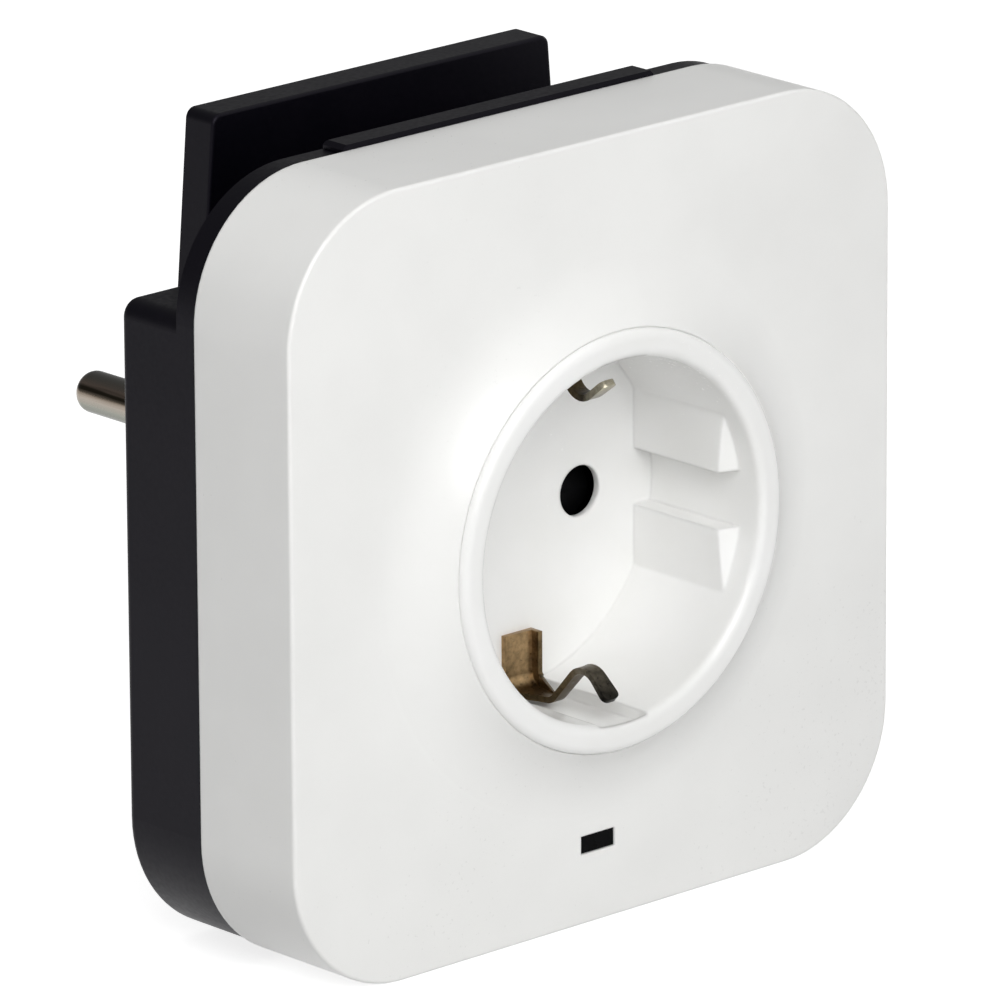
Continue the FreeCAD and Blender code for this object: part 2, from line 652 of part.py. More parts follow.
def middle_housing():
    """Black housing behind the cover: a wall that closes the cover, and a box under the phone slot."""
    body = new_body("middle_housing")
    wide, tall, corner = housing_half_width, housing_half_height, housing_corner
    wall = Outline(body, "closing_wall_outline", level=size["cover_depth"])
    wall.box(-wide, -tall, wide, tall, corner)
    pad(wall, "closing_wall", size["lip_depth"])
    ledge, end = size["ledge_height"], size["ledge_corner"]
    box = Outline(body, "box_outline", level=size["cover_depth"])
    box.loop([(corner - wide, -tall), (wide - corner, -tall, corner), (wide, corner - tall), (wide, ledge - end, end),
              (wide - end, ledge), (end - wide, ledge, end), (-wide, ledge - end), (-wide, corner - tall, corner)])
    pad(box, "box", size["housing_depth"])
    round_edges(body, "back_edge", lambda point: near(point.y, housing_back), size["housing_edge"])
    rib_gap = size["cover_wall"] + size["fit_gap"]
    rib_corner = size["cover_corner"] - rib_gap
    rib_front = size["cover_depth"] - size["locating_rib"]
    rib = Outline(body, "locating_rib_outline", level=rib_front)
    rib.box(rib_gap - cover_half_width, rib_gap - cover_half_height, cover_half_width - rib_gap,
            cover_half_height - rib_gap, rib_corner)
    pad(rib, "locating_rib", size["locating_rib"] + 0.5)
    rib_hollow = Outline(body, "rib_hollow_outline", level=rib_front - 1)
    rib_hollow.box(-inner_half_width, -inner_half_height, inner_half_width, inner_half_height, inner_corner)
    cut(rib_hollow, "rib_hollow", size["locating_rib"] + 1)
    hollow = Outline(body, "housing_hollow_outline", level=size["cover_depth"] - 1)
    roof = ledge - size["housing_wall"]
    hollow.loop([(inner_corner - inner_half_width, -inner_half_height),
                 (inner_half_width - inner_corner, -inner_half_height, inner_corner),
                 (inner_half_width, inner_corner - inner_half_height), (inner_half_width, roof),
                 (-inner_half_width, roof), (-inner_half_width, inner_corner - inner_half_height, inner_corner)])
    cut(hollow, "housing_hollow", housing_inner - size["cover_depth"] + 1)
    posts = Outline(body, "housing_posts_outline", level=size["cover_depth"])
    for across, up in screw_places:
        posts.circle(across, up, post_radius)
    pad(posts, "housing_posts", housing_inner - size["cover_depth"] + 0.5)
    seats = Outline(body, "deck_seats_outline", level=size["cover_depth"])
    well = size["well_width"] / 2
    seats.box(well + 0.3, size["screw_z_top"] + 0.5, size["screw_x_top"] + 2.5, roof + 0.3)
    seats.box(-size["screw_x_top"] - 2.5, size["screw_z_top"] + 0.5, -well - 0.3, roof + 0.3)
    pad(seats, "deck_seats", housing_inner - size["cover_depth"] + 0.5)
    board_foot_pads = Outline(body, "board_pads_outline", level=board_back)
    ledges = Outline(body, "port_board_ledges_outline", level=port_front + 1.5)
    for side in (-1, 1):
        board_foot_pads.circle(side * board_screw_x, board_screw_z, dim(2.4))
    outer = size["port_board_width"] / 2
    ledge_top = port_foot - size["board_thickness"]
    ledges.box(outer - 3.0, ledge_top - 1.5, outer, ledge_top)
    ledges.box(-outer, ledge_top - 1.5, 3.0 - outer, ledge_top)
    pad(board_foot_pads, "board_pads", housing_inner - board_back + 0.5)
    pad(ledges, "port_board_ledges", housing_inner - port_front - 1.0)
    holes = Outline(body, "housing_screw_holes_outline", level=size["cover_depth"] - 1)
    for across, up in screw_places:
        holes.circle(across, up, screw_hole)
    cut(holes, "housing_screw_holes", size["housing_depth"] + 2)
    pilots = Outline(body, "board_pilot_holes_outline", level=board_back - 1)
    for side in (-1, 1):
        pilots.circle(side * board_screw_x, board_screw_z, dim(1.12))
    cut(pilots, "board_pilot_holes", housing_inner - board_back + 2.1)
    opening = Outline(body, "rear_opening_outline", level=housing_inner - 1)
    opening.circle(0, 0, size["rear_opening"])
    cut(opening, "rear_opening_cut", size["housing_wall"] + 2)
    clamp = Outline(body, "clamp_ring_outline", level=housing_back - 0.3)
    flange = size["boss_radius"] + size["boss_flange"]
    clamp.circle(0, size["pin_rise"], flange)
    clamp.circle(0, size["pin_rise"], flange - size["clamp_wall"])
    pad(clamp, "clamp_ring", boss_flange_front - housing_back + 0.3)
    notch = Outline(body, "lip_notch_outline", level=apron_back)
    side = size["lip_width"] / 2 + size["fit_gap"]
    over_lip = cover_half_height + size["lip_proud"] + 1
    notch.box(-side, ledge - size["deck_thickness"], side, over_lip)
    cut(notch, "lip_notch", port_back + 0.8 + size["fit_gap"] - apron_back)
    brow = Outline(body, "brow_notch_outline", level=size["cover_depth"])
    brow.box(-side, apron_top, side, over_lip)
    cut(brow, "brow_notch", size["apron_thickness"] + 0.5)
    opening = Outline(body, "port_well_outline", level=apron_back)
    opening.box(-well, roof - 1, well, ledge + 1)
    cut(opening, "port_well", port_back + 0.4 - apron_back)


def port_bezel():
    """Black insert with the raised lip in front of the phone slot and the deck round the ports."""
    body = new_body("port_bezel")
    half = size["lip_width"] / 2
    top = cover_half_height + size["lip_proud"]
    foot = size["ledge_height"] - size["deck_thickness"]
    lip = Outline(body, "lip_outline", level=size["cover_depth"])
    lip.loop([(-half, foot), (half, foot), (half, top - size["lip_chamfer"]), (half - size["lip_chamfer"], top),
              (size["lip_chamfer"] - half, top), (-half, top - size["lip_chamfer"])])
    pad(lip, "lip", size["lip_depth"])
    step = Outline(body, "apron_step_outline", level=size["cover_depth"] - 1)
    step.box(-half - 1, foot - 1, half + 1, apron_top + size["fit_gap"])
    cut(step, "apron_step", size["apron_thickness"] + size["fit_gap"] + 1)
    deck = Outline(body, "deck_outline", level=slot_front - 0.5)
    deck.box(-half, foot, half, size["ledge_height"])
    pad(deck, "deck", port_back + 0.8 - slot_front + 0.5)
    mouths = Outline(body, "port_mouths_outline", role="XY_Plane", level=foot - 1)
    mouth_half = size["port_width"] / 2 + size["fit_gap"]
    for across in port_places:
        mouths.box(across - mouth_half, port_front - size["fit_gap"], across + mouth_half,
                   port_back + size["fit_gap"])
    item = feature(mouths, "PartDesign::Pocket", "port_mouths")
    item.Reversed = True
    bind(item, "Length", size["deck_thickness"] + 2)
    round_edges(body, "lip_edge", lip_top_edge, 0.4)


def lip_top_edge(point):
    """The back edge along the top of the lip."""
    return near(point.y, slot_front) and point.z > cover_half_height.value + size["lip_proud"].value - 0.01


def charging_port(side, across):
    """Steel shell of one charging port, folded from sheet, with its mouth upwards."""
    body = new_body(f"port_shell_{side}")
    half = size["port_width"] / 2
    tube = Outline(body, "shell_outline", role="XY_Plane", level=port_foot)
    tube.box(across - half, port_front, across + half, port_back, dim(0.6))
    item = feature(tube, "PartDesign::Pad", "shell_block")
    bind(item, "Length", size["port_length"])
    sheet_gap = size["port_sheet"]
    inside = Outline(body, "shell_hollow_outline", role="XY_Plane", level=port_foot + sheet_gap)
    inside.box(across - half + sheet_gap, port_front + sheet_gap, across + half - sheet_gap,
               port_back - sheet_gap, dim(0.3))
    item = feature(inside, "PartDesign::Pocket", "shell_hollow")
    item.Reversed = True
    bind(item, "Length", size["port_length"])
    springs = Outline(body, "latch_windows_outline", level=port_front - 1)
    for step in (-1, 1):
        place = across + step * size["port_width"] / 4
        springs.box(place - 1.1, port_foot + 6.0, place + 1.1, port_foot + 8.6)
    cut(springs, "latch_windows", size["port_thickness"] + 2)


def port_tongue(side, across):
    """Plastic block and tongue inside one port, with four contact strips let into the tongue."""
    body = new_body(f"port_tongue_{side}")
    inner_half = size["port_width"] / 2 - size["port_sheet"] - size["fit_gap"]
    low = port_foot + size["port_sheet"]
    block = Outline(body, "block_outline", role="XY_Plane", level=low)
    block.box(across - inner_half, port_front + size["port_sheet"] + size["fit_gap"],
              across + inner_half, port_back - size["port_sheet"] - size["fit_gap"])
    item = feature(block, "PartDesign::Pad", "block")
    bind(item, "Length", size["port_length"] - size["tongue_length"] - 1.0 - size["port_sheet"])
    blade = Outline(body, "tongue_outline", role="XY_Plane", level=low)
    half = size["tongue_width"] / 2
    thick = size["tongue_thickness"]
    blade_back = port_back - size["port_sheet"] - 0.7
    blade.box(across - half, blade_back - thick, across + half, blade_back)
    item = feature(blade, "PartDesign::Pad", "tongue")
    bind(item, "Length", size["port_length"] - 1.0 - size["port_sheet"])
    grooves = Outline(body, "contact_grooves_outline", level=blade_back - thick - 0.01)
    for step in (-1.5, -0.5, 0.5, 1.5):
        place = across + step * 2.3
        grooves.box(place - 0.5, port_foot + size["port_length"] - size["tongue_length"], place + 0.5,
                    port_foot + size["port_length"] - 1.8)
    cut(grooves, "contact_grooves", 0.31)


def port_board():
    """Small circuit board under the two ports, notched round the earth bracket."""
    body = new_body("port_board")
    half = size["port_board_width"] / 2
    front, back = contact_front, housing_inner - size["fit_gap"]
    plate = Outline(body, "port_board_outline", role="XY_Plane", level=port_foot - size["board_thickness"])
    notch = size["bracket_width"] / 2 + 0.6
    inner = contact_front + size["base_thickness"] + 1.2
    plate.loop([(-half, front), (-notch, front), (-notch, inner), (notch, inner), (notch, front),
                (half, front), (half, back), (-half, back)])
    item = feature(plate, "PartDesign::Pad", "port_board_plate")
    bind(item, "Length", size["board_thickness"])


def main_board():
    """Main circuit board under the socket cup, parallel to the face."""
    body = new_body("main_board")
    plate = Outline(body, "main_board_outline", level=board_front)
    corner = size["cover_corner"] - size["board_margin"]
    plate.loop([(corner - board_half_width, board_foot), (board_half_width - corner, board_foot, corner),
                (board_half_width, board_foot + corner), (board_half_width, board_top),
                (-board_half_width, board_top), (-board_half_width, board_foot + corner, corner)])
    pad(plate, "main_board_plate", size["board_thickness"])
    holes = Outline(body, "board_holes_outline", level=board_front - 1)
    for side in (-1, 1):
        holes.circle(side * board_screw_x, board_screw_z, dim(1.2))
    cut(holes, "board_holes", size["board_thickness"] + 2)


def can(label, across, up, radius, length):
    """Round component standing on the main board, with the groove of its crimped can."""
    body = new_body(label)
    section = Outline(body, f"{label}_section", role="XY_Plane", shift=across, lift=board_front - length)
    radius = dim(radius)
    length = dim(length)
    section.loop([(0, 0), (radius - 0.4, 0), (radius, 0.4), (radius, length - 2.4), (radius - 0.4, length - 2.0),
                  (radius, length - 1.6), (radius, length), (0, length)])
    bind(section.sketch, "AttachmentOffset.Base.z", up)
    turn(section, f"{label}_form")


def transformer():
    """Charger transformer: a core of two E halves round a wound bobbin."""
    body = new_body("transformer")
    left, foot = size["transformer_margin"] - board_half_width, board_foot + 0.8
    width, height, depth = size["transformer_width"], size["transformer_height"], size["transformer_depth"]
    core = Outline(body, "core_outline", level=board_front - depth)
    core.box(left, foot, left + width, foot + height)
    pad(core, "core", depth - 1.5)
    bobbin = Outline(body, "bobbin_outline", level=board_front - 2.0)
    bobbin.box(left - 1.0, foot + 1.5, left + width + 1.0, foot + height - 1.5)
    pad(bobbin, "bobbin_foot", 2.0)
    winding = Outline(body, "winding_outline", role="XY_Plane", level=foot + height / 2)
    middle = left + width / 2
    winding.box(middle - 4.0, board_front - depth - 1.2, middle + 4.0, board_front - depth + 2.0, dim(1.0))
    pad_across(winding, "winding", height - 3.0)


def varistor(number, across):
    """Disc varistor of the surge protection, standing on its two leads."""
    body = new_body(f"varistor_{number}")
    up = board_middle
    radius = size["varistor_radius"]
    disc = Outline(body, f"varistor_{number}_outline", role="YZ_Plane", level=across)
    disc.circle(board_front - radius - 1.0, up, radius)
    pad_across(disc, f"varistor_{number}_disc", size["varistor_thickness"])
    leads = Outline(body, f"varistor_{number}_leads_outline", level=board_front - 2.5)
    for step in (-1, 1):
        leads.box(across - 0.4, up + step * 3.0 - 0.4, across + 0.4, up + step * 3.0 + 0.4)
    pad(leads, f"varistor_{number}_leads", 2.5)


def thermal_fuse():
    """Thermal fuse that cuts the varistors off when they get hot."""
    body = new_body("thermal_fuse")
    across = fuse_x
    up = board_middle - 1.0
    barrel = Outline(body, "fuse_outline", role="XY_Plane", level=up)
    barrel.circle(across, board_front - 2.4, dim(1.9))
    pad_across(barrel, "fuse_barrel", 8.0)
    leads = Outline(body, "fuse_leads_outline", level=board_front - 2.4)
    for step in (-1, 1):
        leads.box(across - 0.4, up + step * 5.2 - 0.4, across + 0.4, up + step * 5.2 + 0.4)
    pad(leads, "fuse_leads", 2.4)
    wires = Outline(body, "fuse_wires_outline", role="XY_Plane", level=up)
    wires.circle(across, board_front - 2.4, dim(0.4))
    pad_across(wires, "fuse_wires", 11.2)


def safety_shutter():
    """Rotor that closes both entry holes and turns aside when two pins push its ramps together."""
    body = new_body("safety_shutter")
    lobes = Outline(body, "shutter_outline", level=shutter_front)
    arm = size["shutter_arm"] / 2
    for side in (-1, 1):
        lobes.circle(side * pin_x, 0, size["shutter_lobe"])
    pad(lobes, "shutter_lobes", size["shutter_thickness"])
    bar = Outline(body, "shutter_arm_outline", level=shutter_front)
    bar.box(-pin_x, -arm, pin_x, arm)
    pad(bar, "shutter_arm", size["shutter_thickness"])
    hub = Outline(body, "shutter_hub_outline", level=shutter_front)
    hub.circle(0, 0, size["shutter_hub"])
    pad(hub, "shutter_hub", size["shutter_thickness"])
    bore = Outline(body, "shutter_bore_outline", level=shutter_front - 1)
    bore.circle(0, 0, size["pivot_radius"] + size["pivot_clearance"])
    cut(bore, "shutter_bore", size["shutter_thickness"] + 2)
    pocket = Outline(body, "spring_pocket_outline", level=shutter_back - size["spring_pocket_depth"])
    pocket.circle(0, 0, size["spring_pocket_radius"])
    cut(pocket, "spring_pocket", size["spring_pocket_depth"] + 1)
    for side, name in ((-1, "left"), (1, "right")):
        ramp = Outline(body, f"ramp_{name}_outline", role="YZ_Plane", level=side * pin_x)
        lobe = size["shutter_lobe"]
        ramp.loop([(shutter_front - 1, side * (lobe + 1)), (shutter_front - 1, side * (lobe * -0.2)),
                   (shutter_front, side * (lobe * -0.2)), (shutter_front + 1.6, side * (lobe + 1))])
        cut_across(ramp, f"ramp_{name}", 2 * lobe + 0.5)


def shutter_carrier():
    """Carrier behind the cup's floor, with the shutter's pivot post and four legs."""
    body = new_body("shutter_carrier")
    half, tall = size["carrier_width"] / 2, size["carrier_height"] / 2
    plate = Outline(body, "carrier_outline", level=carrier_front)
    plate.box(-half, -tall, half, tall, dim(2.0))
    pad(plate, "carrier_plate", size["carrier_thickness"])
    legs = Outline(body, "carrier_legs_outline", level=cup_floor_back)
    for across in (-1, 1):
        for up in (-1, 1):
            legs.circle(across * (half - size["carrier_leg"] - 0.3), up * (tall - size["carrier_leg"] - 0.3),
                        size["carrier_leg"])
    pad(legs, "carrier_legs", carrier_front - cup_floor_back + 0.5)
    post = Outline(body, "pivot_outline", level=cup_floor_back)
    post.circle(0, 0, size["pivot_radius"])
    pad(post, "pivot_post", carrier_front - cup_floor_back + 0.5)
    holes = Outline(body, "carrier_holes_outline", level=carrier_front - 1)
    for across in (-pin_x, pin_x):
        holes.circle(across, 0, size["entry_radius"] + 0.3)
    cut(holes, "carrier_holes", size["carrier_thickness"] + 2)


def earth_clip(side, flip):
    """Sprung earth contact: foot on the floor, bend, arch towards the plug and free tip."""
    body = new_body(f"earth_clip_{side}")
    thick = size["clip_thickness"]
    floor = cup_floor_front
    top, seat = size["clip_foot_top"], size["clip_seat"]
    run, apex_at, apex = size["clip_run"], size["clip_apex_depth"], size["clip_apex"]
    tip_at, tip = size["clip_tip_depth"], size["clip_tip"]
    bend = dim(1.6)
    crown = dim(1.5)

    def place(depth, height, radius=None):
        """A point of the side view; heights are from the socket axis outwards."""
        up = flip * height
        if radius is None:
            return depth, up
        return depth, up, flip * radius

    strip = Outline(body, f"clip_{side}_strip_outline", role="YZ_Plane")
    strip.loop([
        place(floor, top),
        place(floor, seat - bend, bend),
        place(floor - bend, seat),
        place(run, seat),
        place(apex_at + crown * 0.8, apex + thick + crown * 0.5, -crown * 1.0),
        place(apex_at - crown * 0.6, apex + thick + crown * 0.4),
        place(tip_at + 0.35, tip + thick * 0.9),
        place(tip_at - 0.25, tip + thick * 0.3),
        place(apex_at - crown * 0.9, apex + crown * 0.3, crown * 1.4),
        place(apex_at + crown * 1.0, apex + crown * 0.42),
        place(run + 0.35, seat - thick),
        place(floor - bend, seat - thick, -(bend - thick)),
        place(floor - thick, seat - bend),
        place(floor - thick, top),
    ])
    pad_across(strip, f"clip_{side}_strip", size["clip_width"])
    foot = Outline(body, f"clip_{side}_foot_outline", level=floor - thick)
    wide = size["clip_foot_width"] / 2
    low, high = sorted((flip * top, flip * (seat - bend)), key=lambda length: length.value)
    foot.box(-wide, low, wide, high)
    pad(foot, f"clip_{side}_foot", thick)
    fold = Outline(body, f"clip_{side}_fold_outline", level=floor - thick - size["clip_fold"])
    left, right = sorted((flip * -wide, flip * (0.7 - wide)), key=lambda length: length.value)
    fold.box(left, low, right, high)
    pad(fold, f"clip_{side}_fold", size["clip_fold"] + thick / 2)
    tab = Outline(body, f"clip_{side}_tab_outline", level=floor - thick / 2)
    half = size["clip_tab_width"] / 2
    low, high = sorted([flip * edge for edge in tab_span(0)], key=lambda length: length.value)
    tab.box(-half, low, half, high)
    pad(tab, f"clip_{side}_tab", contact_front + size["base_thickness"] + 0.6 - floor + thick / 2)


def earth_bracket():
    """Strip behind the carrier that joins the two clips and carries earth to the plug body."""
    body = new_body("earth_bracket")
    half = size["bracket_width"] / 2
    low, high = tab_span(0)
    tall = high + 1.2
    strip = Outline(body, "bracket_outline", level=contact_front)
    strip.box(-half, -tall, half, tall)
    pad(strip, "bracket_strip", size["base_thickness"])
    slots = Outline(body, "bracket_slots_outline", level=contact_front - 1)
    tab_half = size["clip_tab_width"] / 2
    slots.box(-tab_half, low, tab_half, high)
    slots.box(-tab_half, -high, tab_half, -low)
    cut(slots, "bracket_slots", size["base_thickness"] + 2)
    leg = Outline(body, "bracket_leg_outline", level=contact_front)
    leg.box(-half, 6.0 - tall, half, 6.0 - tall + size["base_thickness"])
    pad(leg, "bracket_leg", earth_cross_front - contact_front)


def contact(side, across):
    """Sprung brass sleeve for one plug pin, on its sheet base."""
    body = new_body(f"contact_{side}")
    inner, outer = size["contact_bore"], size["contact_bore"] + size["contact_wall"]
    sleeve = Outline(body, f"sleeve_{side}_section", role="XY_Plane", shift=across)
    sleeve.loop([(inner + 0.5, contact_front), (outer, contact_front), (outer, contact_back + 0.2),
                 (inner, contact_back + 0.2), (inner, contact_front + 0.9)])
    turn(sleeve, f"sleeve_{side}")
    slit = Outline(body, f"slit_{side}_outline", level=contact_front - 1)
    half = size["contact_slit"] / 2
    slit.box(across - outer - 1, -half, across + outer + 1, half)
    cut(slit, f"slit_{side}", size["contact_length"] * 0.75 + 1)
    base = Outline(body, f"base_{side}_outline", level=contact_back)
    wide = size["base_width"] / 2
    base.box(across - wide, -size["base_drop"], across + wide, size["pin_rise"] + 3.4, dim(0.8))
    pad(base, f"base_{side}", size["base_thickness"])
    hole = Outline(body, f"base_hole_{side}_outline", level=contact_back - 1)
    hole.circle(across, size["pin_rise"], dim(1.0))
    cut(hole, f"base_hole_{side}", size["base_thickness"] + 2)


def strap(side, across):
    """Bent strip from one contact base down to the main board."""
    body = new_body(f"board_strap_{side}")
    thick = size["base_thickness"]
    knee = -size["strap_knee"]
    foot = board_top - 3.0
    top = thick - size["contact_bore"] - size["contact_wall"] - 1.7
    line = Outline(body, f"strap_{side}_outline", role="YZ_Plane", level=across)
    line.loop([(board_back, foot), (board_back + thick, foot), (board_back + thick, knee), (contact_back, knee),
               (contact_back, top), (contact_back - thick, top), (contact_back - thick, knee + thick),
               (board_back, knee + thick)])
    pad_across(line, f"strap_{side}_strip", size["strap_width"])


def shutter_spring():
    """Torsion spring round the pivot post, on the carrier, inside the pocket of the shutter's hub."""
    body = new_body("shutter_spring")
    wire = size["spring_wire"] / 2
    pitch = size["spring_wire"] + 0.03
    section = Outline(body, "spring_section", role="XY_Plane", lift=carrier_front - wire - pitch * size["spring_turns"])
    radius = size["spring_radius"]
    section.box(radius - wire, -wire, radius + wire, wire)
    coil = body.newObject("PartDesign::AdditiveHelix", "spring_coil")
    coil.Profile = section.sketch
    coil.ReferenceAxis = (section.sketch, ["V_Axis"])
    coil.Mode = "pitch-turns-angle"
    bind(coil, "Pitch", pitch)
    bind(coil, "Turns", size["spring_turns"])


def rear_cover():
    """Black rear cover: a low box against the wall whose back wall runs up as the phone rest."""
    body = new_body("rear_cover")
    top, foot = size["plate_top"], -size["plate_foot"]
    top_half, foot_half = size["plate_top_width"] / 2, size["plate_foot_width"] / 2
    lean = (foot_half - top_half) / (top - foot)
    ledge = size["ledge_height"]

    def half_at(height):
        return top_half + lean * (top - height)

    plate = Outline(body, "phone_rest_outline", level=plate_front)
    plate.loop([(-foot_half, foot), (foot_half, foot), (top_half, top), (-top_half, top)])
    pad(plate, "phone_rest", size["plate_thickness"])
    skirt = Outline(body, "skirt_outline", level=housing_back)
    skirt.loop([(-foot_half, foot), (foot_half, foot), (half_at(ledge), ledge), (-half_at(ledge), ledge)])
    pad(skirt, "skirt", plate_front - housing_back + 0.5)
    round_edges(body, "rest_corners", lambda point: point.z > top.value - 0.01 and upright(point, top_half),
                size["plate_corner"])
    round_edges(body, "foot_corners", lambda point: point.z < foot.value + 0.01 and upright(point, foot_half),
                size["plate_foot_corner"])
    round_edges(body, "rest_edges", lambda point: near(point.y, plate_front) and point.z > ledge.value + 0.01, 0.4)
    wall = size["rear_wall"]
    hollow = Outline(body, "rear_hollow_outline", level=housing_back - 1)
    hollow.loop([(wall + 3 - foot_half, foot + wall), (foot_half - wall - 3, foot + wall, dim(3.0)),
                 (half_at(foot + wall + 3) - wall, foot + wall + 3), (half_at(ledge - wall) - wall, ledge - wall),
                 (wall - half_at(ledge - wall), ledge - wall), (wall - half_at(foot + wall + 3), foot + wall + 3, dim(3.0))])
    cut(hollow, "rear_hollow", rear_inner - housing_back + 1)
    rib = size["rib_thickness"]
    span = top_half - wall
    pitch = (2 * span + rib) / 4
    pockets = Outline(body, "rest_pockets_outline", level=plate_front + wall)
    for number in range(4):
        left = number * pitch - span
        pockets.box(left, ledge + 1, left + pitch - rib, top - wall)
    cut(pockets, "rest_pockets", size["plate_thickness"])
    posts = Outline(body, "rear_posts_outline", level=housing_back)
    for across, up in screw_places:
        posts.circle(across, up, size["screw_head"] + size["fit_gap"] + size["rear_wall"] / 2)
    pad(posts, "rear_posts", rear_inner - housing_back + 0.5)
    opening = Outline(body, "plug_opening_outline", level=rear_inner - 1)
    opening.circle(0, size["pin_rise"], size["boss_radius"] + size["seam"])
    cut(opening, "plug_opening", size["rear_wall"] + 2)
    holes = Outline(body, "rear_screw_holes_outline", level=housing_back - 1)
    sinks = Outline(body, "rear_sinks_outline", level=wall_side - size["screw_sink"])
    for across, up in screw_places:
        holes.circle(across, up, screw_hole)
        sinks.circle(across, up, size["screw_head"] + size["fit_gap"])
    cut(holes, "rear_screw_holes", wall_side - housing_back + 2)
    cut(sinks, "rear_sinks", size["screw_sink"] + 1)


def upright(point, half):
    """True on the slanting sides' end corners."""
    return abs(abs(point.x) - half.value) < 0.01


def plug_body():
    """Round plug body on the wall side, with guide flats, earth grooves and a flange."""
    body = new_body("plug_body")
    rise = size["pin_rise"]
    radius = size["boss_radius"]
    section = Outline(body, "plug_section", role="XY_Plane")
    bore = size["boss_bore"]
    mouth = size["boss_mouth"]
    step = boss_flange_front + size["boss_mouth_depth"]
    edge = size["boss_edge"]
    flange = radius + size["boss_flange"]
    section.loop([(0, boss_solid_front), (bore, boss_solid_front), (bore, step), (mouth, step),
                  (mouth, boss_flange_front), (flange, boss_flange_front), (flange, rear_inner),
                  (radius, rear_inner), (radius, plug_face - edge, edge), (radius - edge, plug_face),
                  (0, plug_face)])
    bind(section.sketch, "AttachmentOffset.Base.z", rise)
    turn(section, "plug_form")
    flats = Outline(body, "guide_flats_outline", level=wall_side)
    rib = size["boss_rib"] / 2
    flat = size["boss_flat"]
    for side in (-1, 1):
        for half in (-1, 1):
            near_x, far_x = sorted((side * flat, side * (radius + 1)), key=lambda length: length.value)
            low, high = sorted((rise + half * rib, rise + half * (radius + 1)), key=lambda length: length.value)
            flats.box(near_x, low, far_x, high)
    cut(flats, "guide_flats", size["boss_reach"] + 1)
    grooves = Outline(body, "earth_grooves_outline", level=wall_side)
    wide = size["earth_groove_width"] / 2
    deep = radius - size["earth_groove_depth"]
    grooves.box(-wide, rise + deep, wide, rise + radius + 1)
    grooves.box(-wide, rise - radius - 1, wide, rise - deep)
    cut(grooves, "earth_grooves", size["boss_reach"] + 1)
    slots = Outline(body, "earth_slots_outline", level=boss_flange_front - 1)
    slot = size["earth_strip_width"] / 2 + size["fit_gap"]
    outer = deep + size["earth_strip_thickness"] + size["earth_strip_bow"] + size["fit_gap"]
    slots.box(-slot, rise + bore - 0.8, slot, rise + outer)
    slots.box(-slot, rise - outer, slot, rise - bore + 0.8)
    cut(slots, "earth_slots", earth_cross_back + size["fit_gap"] - boss_flange_front + 1)
    holes = Outline(body, "entries_outline", level=boss_solid_front - 1)
    holes.circle(0, rise - size["earth_entry_drop"], size["earth_entry_radius"])
    for across in (-pin_x, pin_x):
        holes.circle(across, rise, size["pin_root"] + 0.02)
    cut(holes, "entries", size["boss_solid"] + 2)


def plug_pin(side, across):
    """Nickel-plated brass plug pin with a rounded tip, a thicker root, a collar and a riveting shank."""
    body = new_body(f"plug_pin_{side}")
    radius = size["pin_radius"]
    root_radius = size["pin_root"]
    end = plug_face + size["pin_length"]
    collar_front = boss_solid_front - size["pin_collar_length"]
    collar = radius + size["pin_collar"]
    neck = radius - 0.2
    shank = dim(0.95)
    tip = size["pin_tip"]
    section = Outline(body, f"pin_{side}_section", role="XY_Plane", shift=across)
    section.loop([(0, contact_back), (shank, contact_back), (shank, base_back), (neck, base_back),
                  (neck, collar_front), (collar, collar_front), (collar, boss_solid_front),
                  (root_radius, boss_solid_front), (root_radius, plug_face), (radius, plug_face),
                  (radius, end - tip, tip), (radius - tip, end), (0, end)])
    bind(section.sketch, "AttachmentOffset.Base.z", size["pin_rise"])
    turn(section, f"pin_{side}")


def plug_earth_strip():
    """Earth strip of the plug body: a cross-piece inside and a bowed arm in each groove."""
    body = new_body("plug_earth_strip")
    rise = size["pin_rise"]
    seat = size["boss_radius"] - size["earth_groove_depth"]
    top = seat + size["earth_strip_thickness"]
    bow = size["earth_strip_bow"]
    end = plug_face - 1.5
    middle = (earth_cross_front + end) / 2
    strip = Outline(body, "earth_strip_outline", role="YZ_Plane")
    strip.loop([(earth_cross_front, rise - top), (middle - 2.5, rise - top - bow), (middle + 2.5, rise - top - bow),
                (end, rise - top), (end, rise - seat), (middle + 2.5, rise - seat - bow),
                (middle - 2.5, rise - seat - bow), (earth_cross_back, rise - seat), (earth_cross_back, rise + seat),
                (middle - 2.5, rise + seat + bow), (middle + 2.5, rise + seat + bow), (end, rise + seat),
                (end, rise + top), (middle + 2.5, rise + top + bow), (middle - 2.5, rise + top + bow),
                (earth_cross_front, rise + top)])
    pad_across(strip, "earth_strip_form", size["earth_strip_width"])


def plug_earth_sleeve():
    """Brass sleeve that lines the earth pin's entry in the plug face."""
    body = new_body("plug_earth_sleeve")
    inner, outer = size["earth_sleeve_bore"], size["earth_entry_radius"] - 0.02
    section = Outline(body, "earth_sleeve_section", role="XY_Plane")
    section.loop([(inner, earth_cross_back), (outer, earth_cross_back), (outer, plug_face - 1.5),
                  (inner, plug_face - 1.5)])
    bind(section.sketch, "AttachmentOffset.Base.z", size["pin_rise"] - size["earth_entry_drop"])
    turn(section, "earth_sleeve")


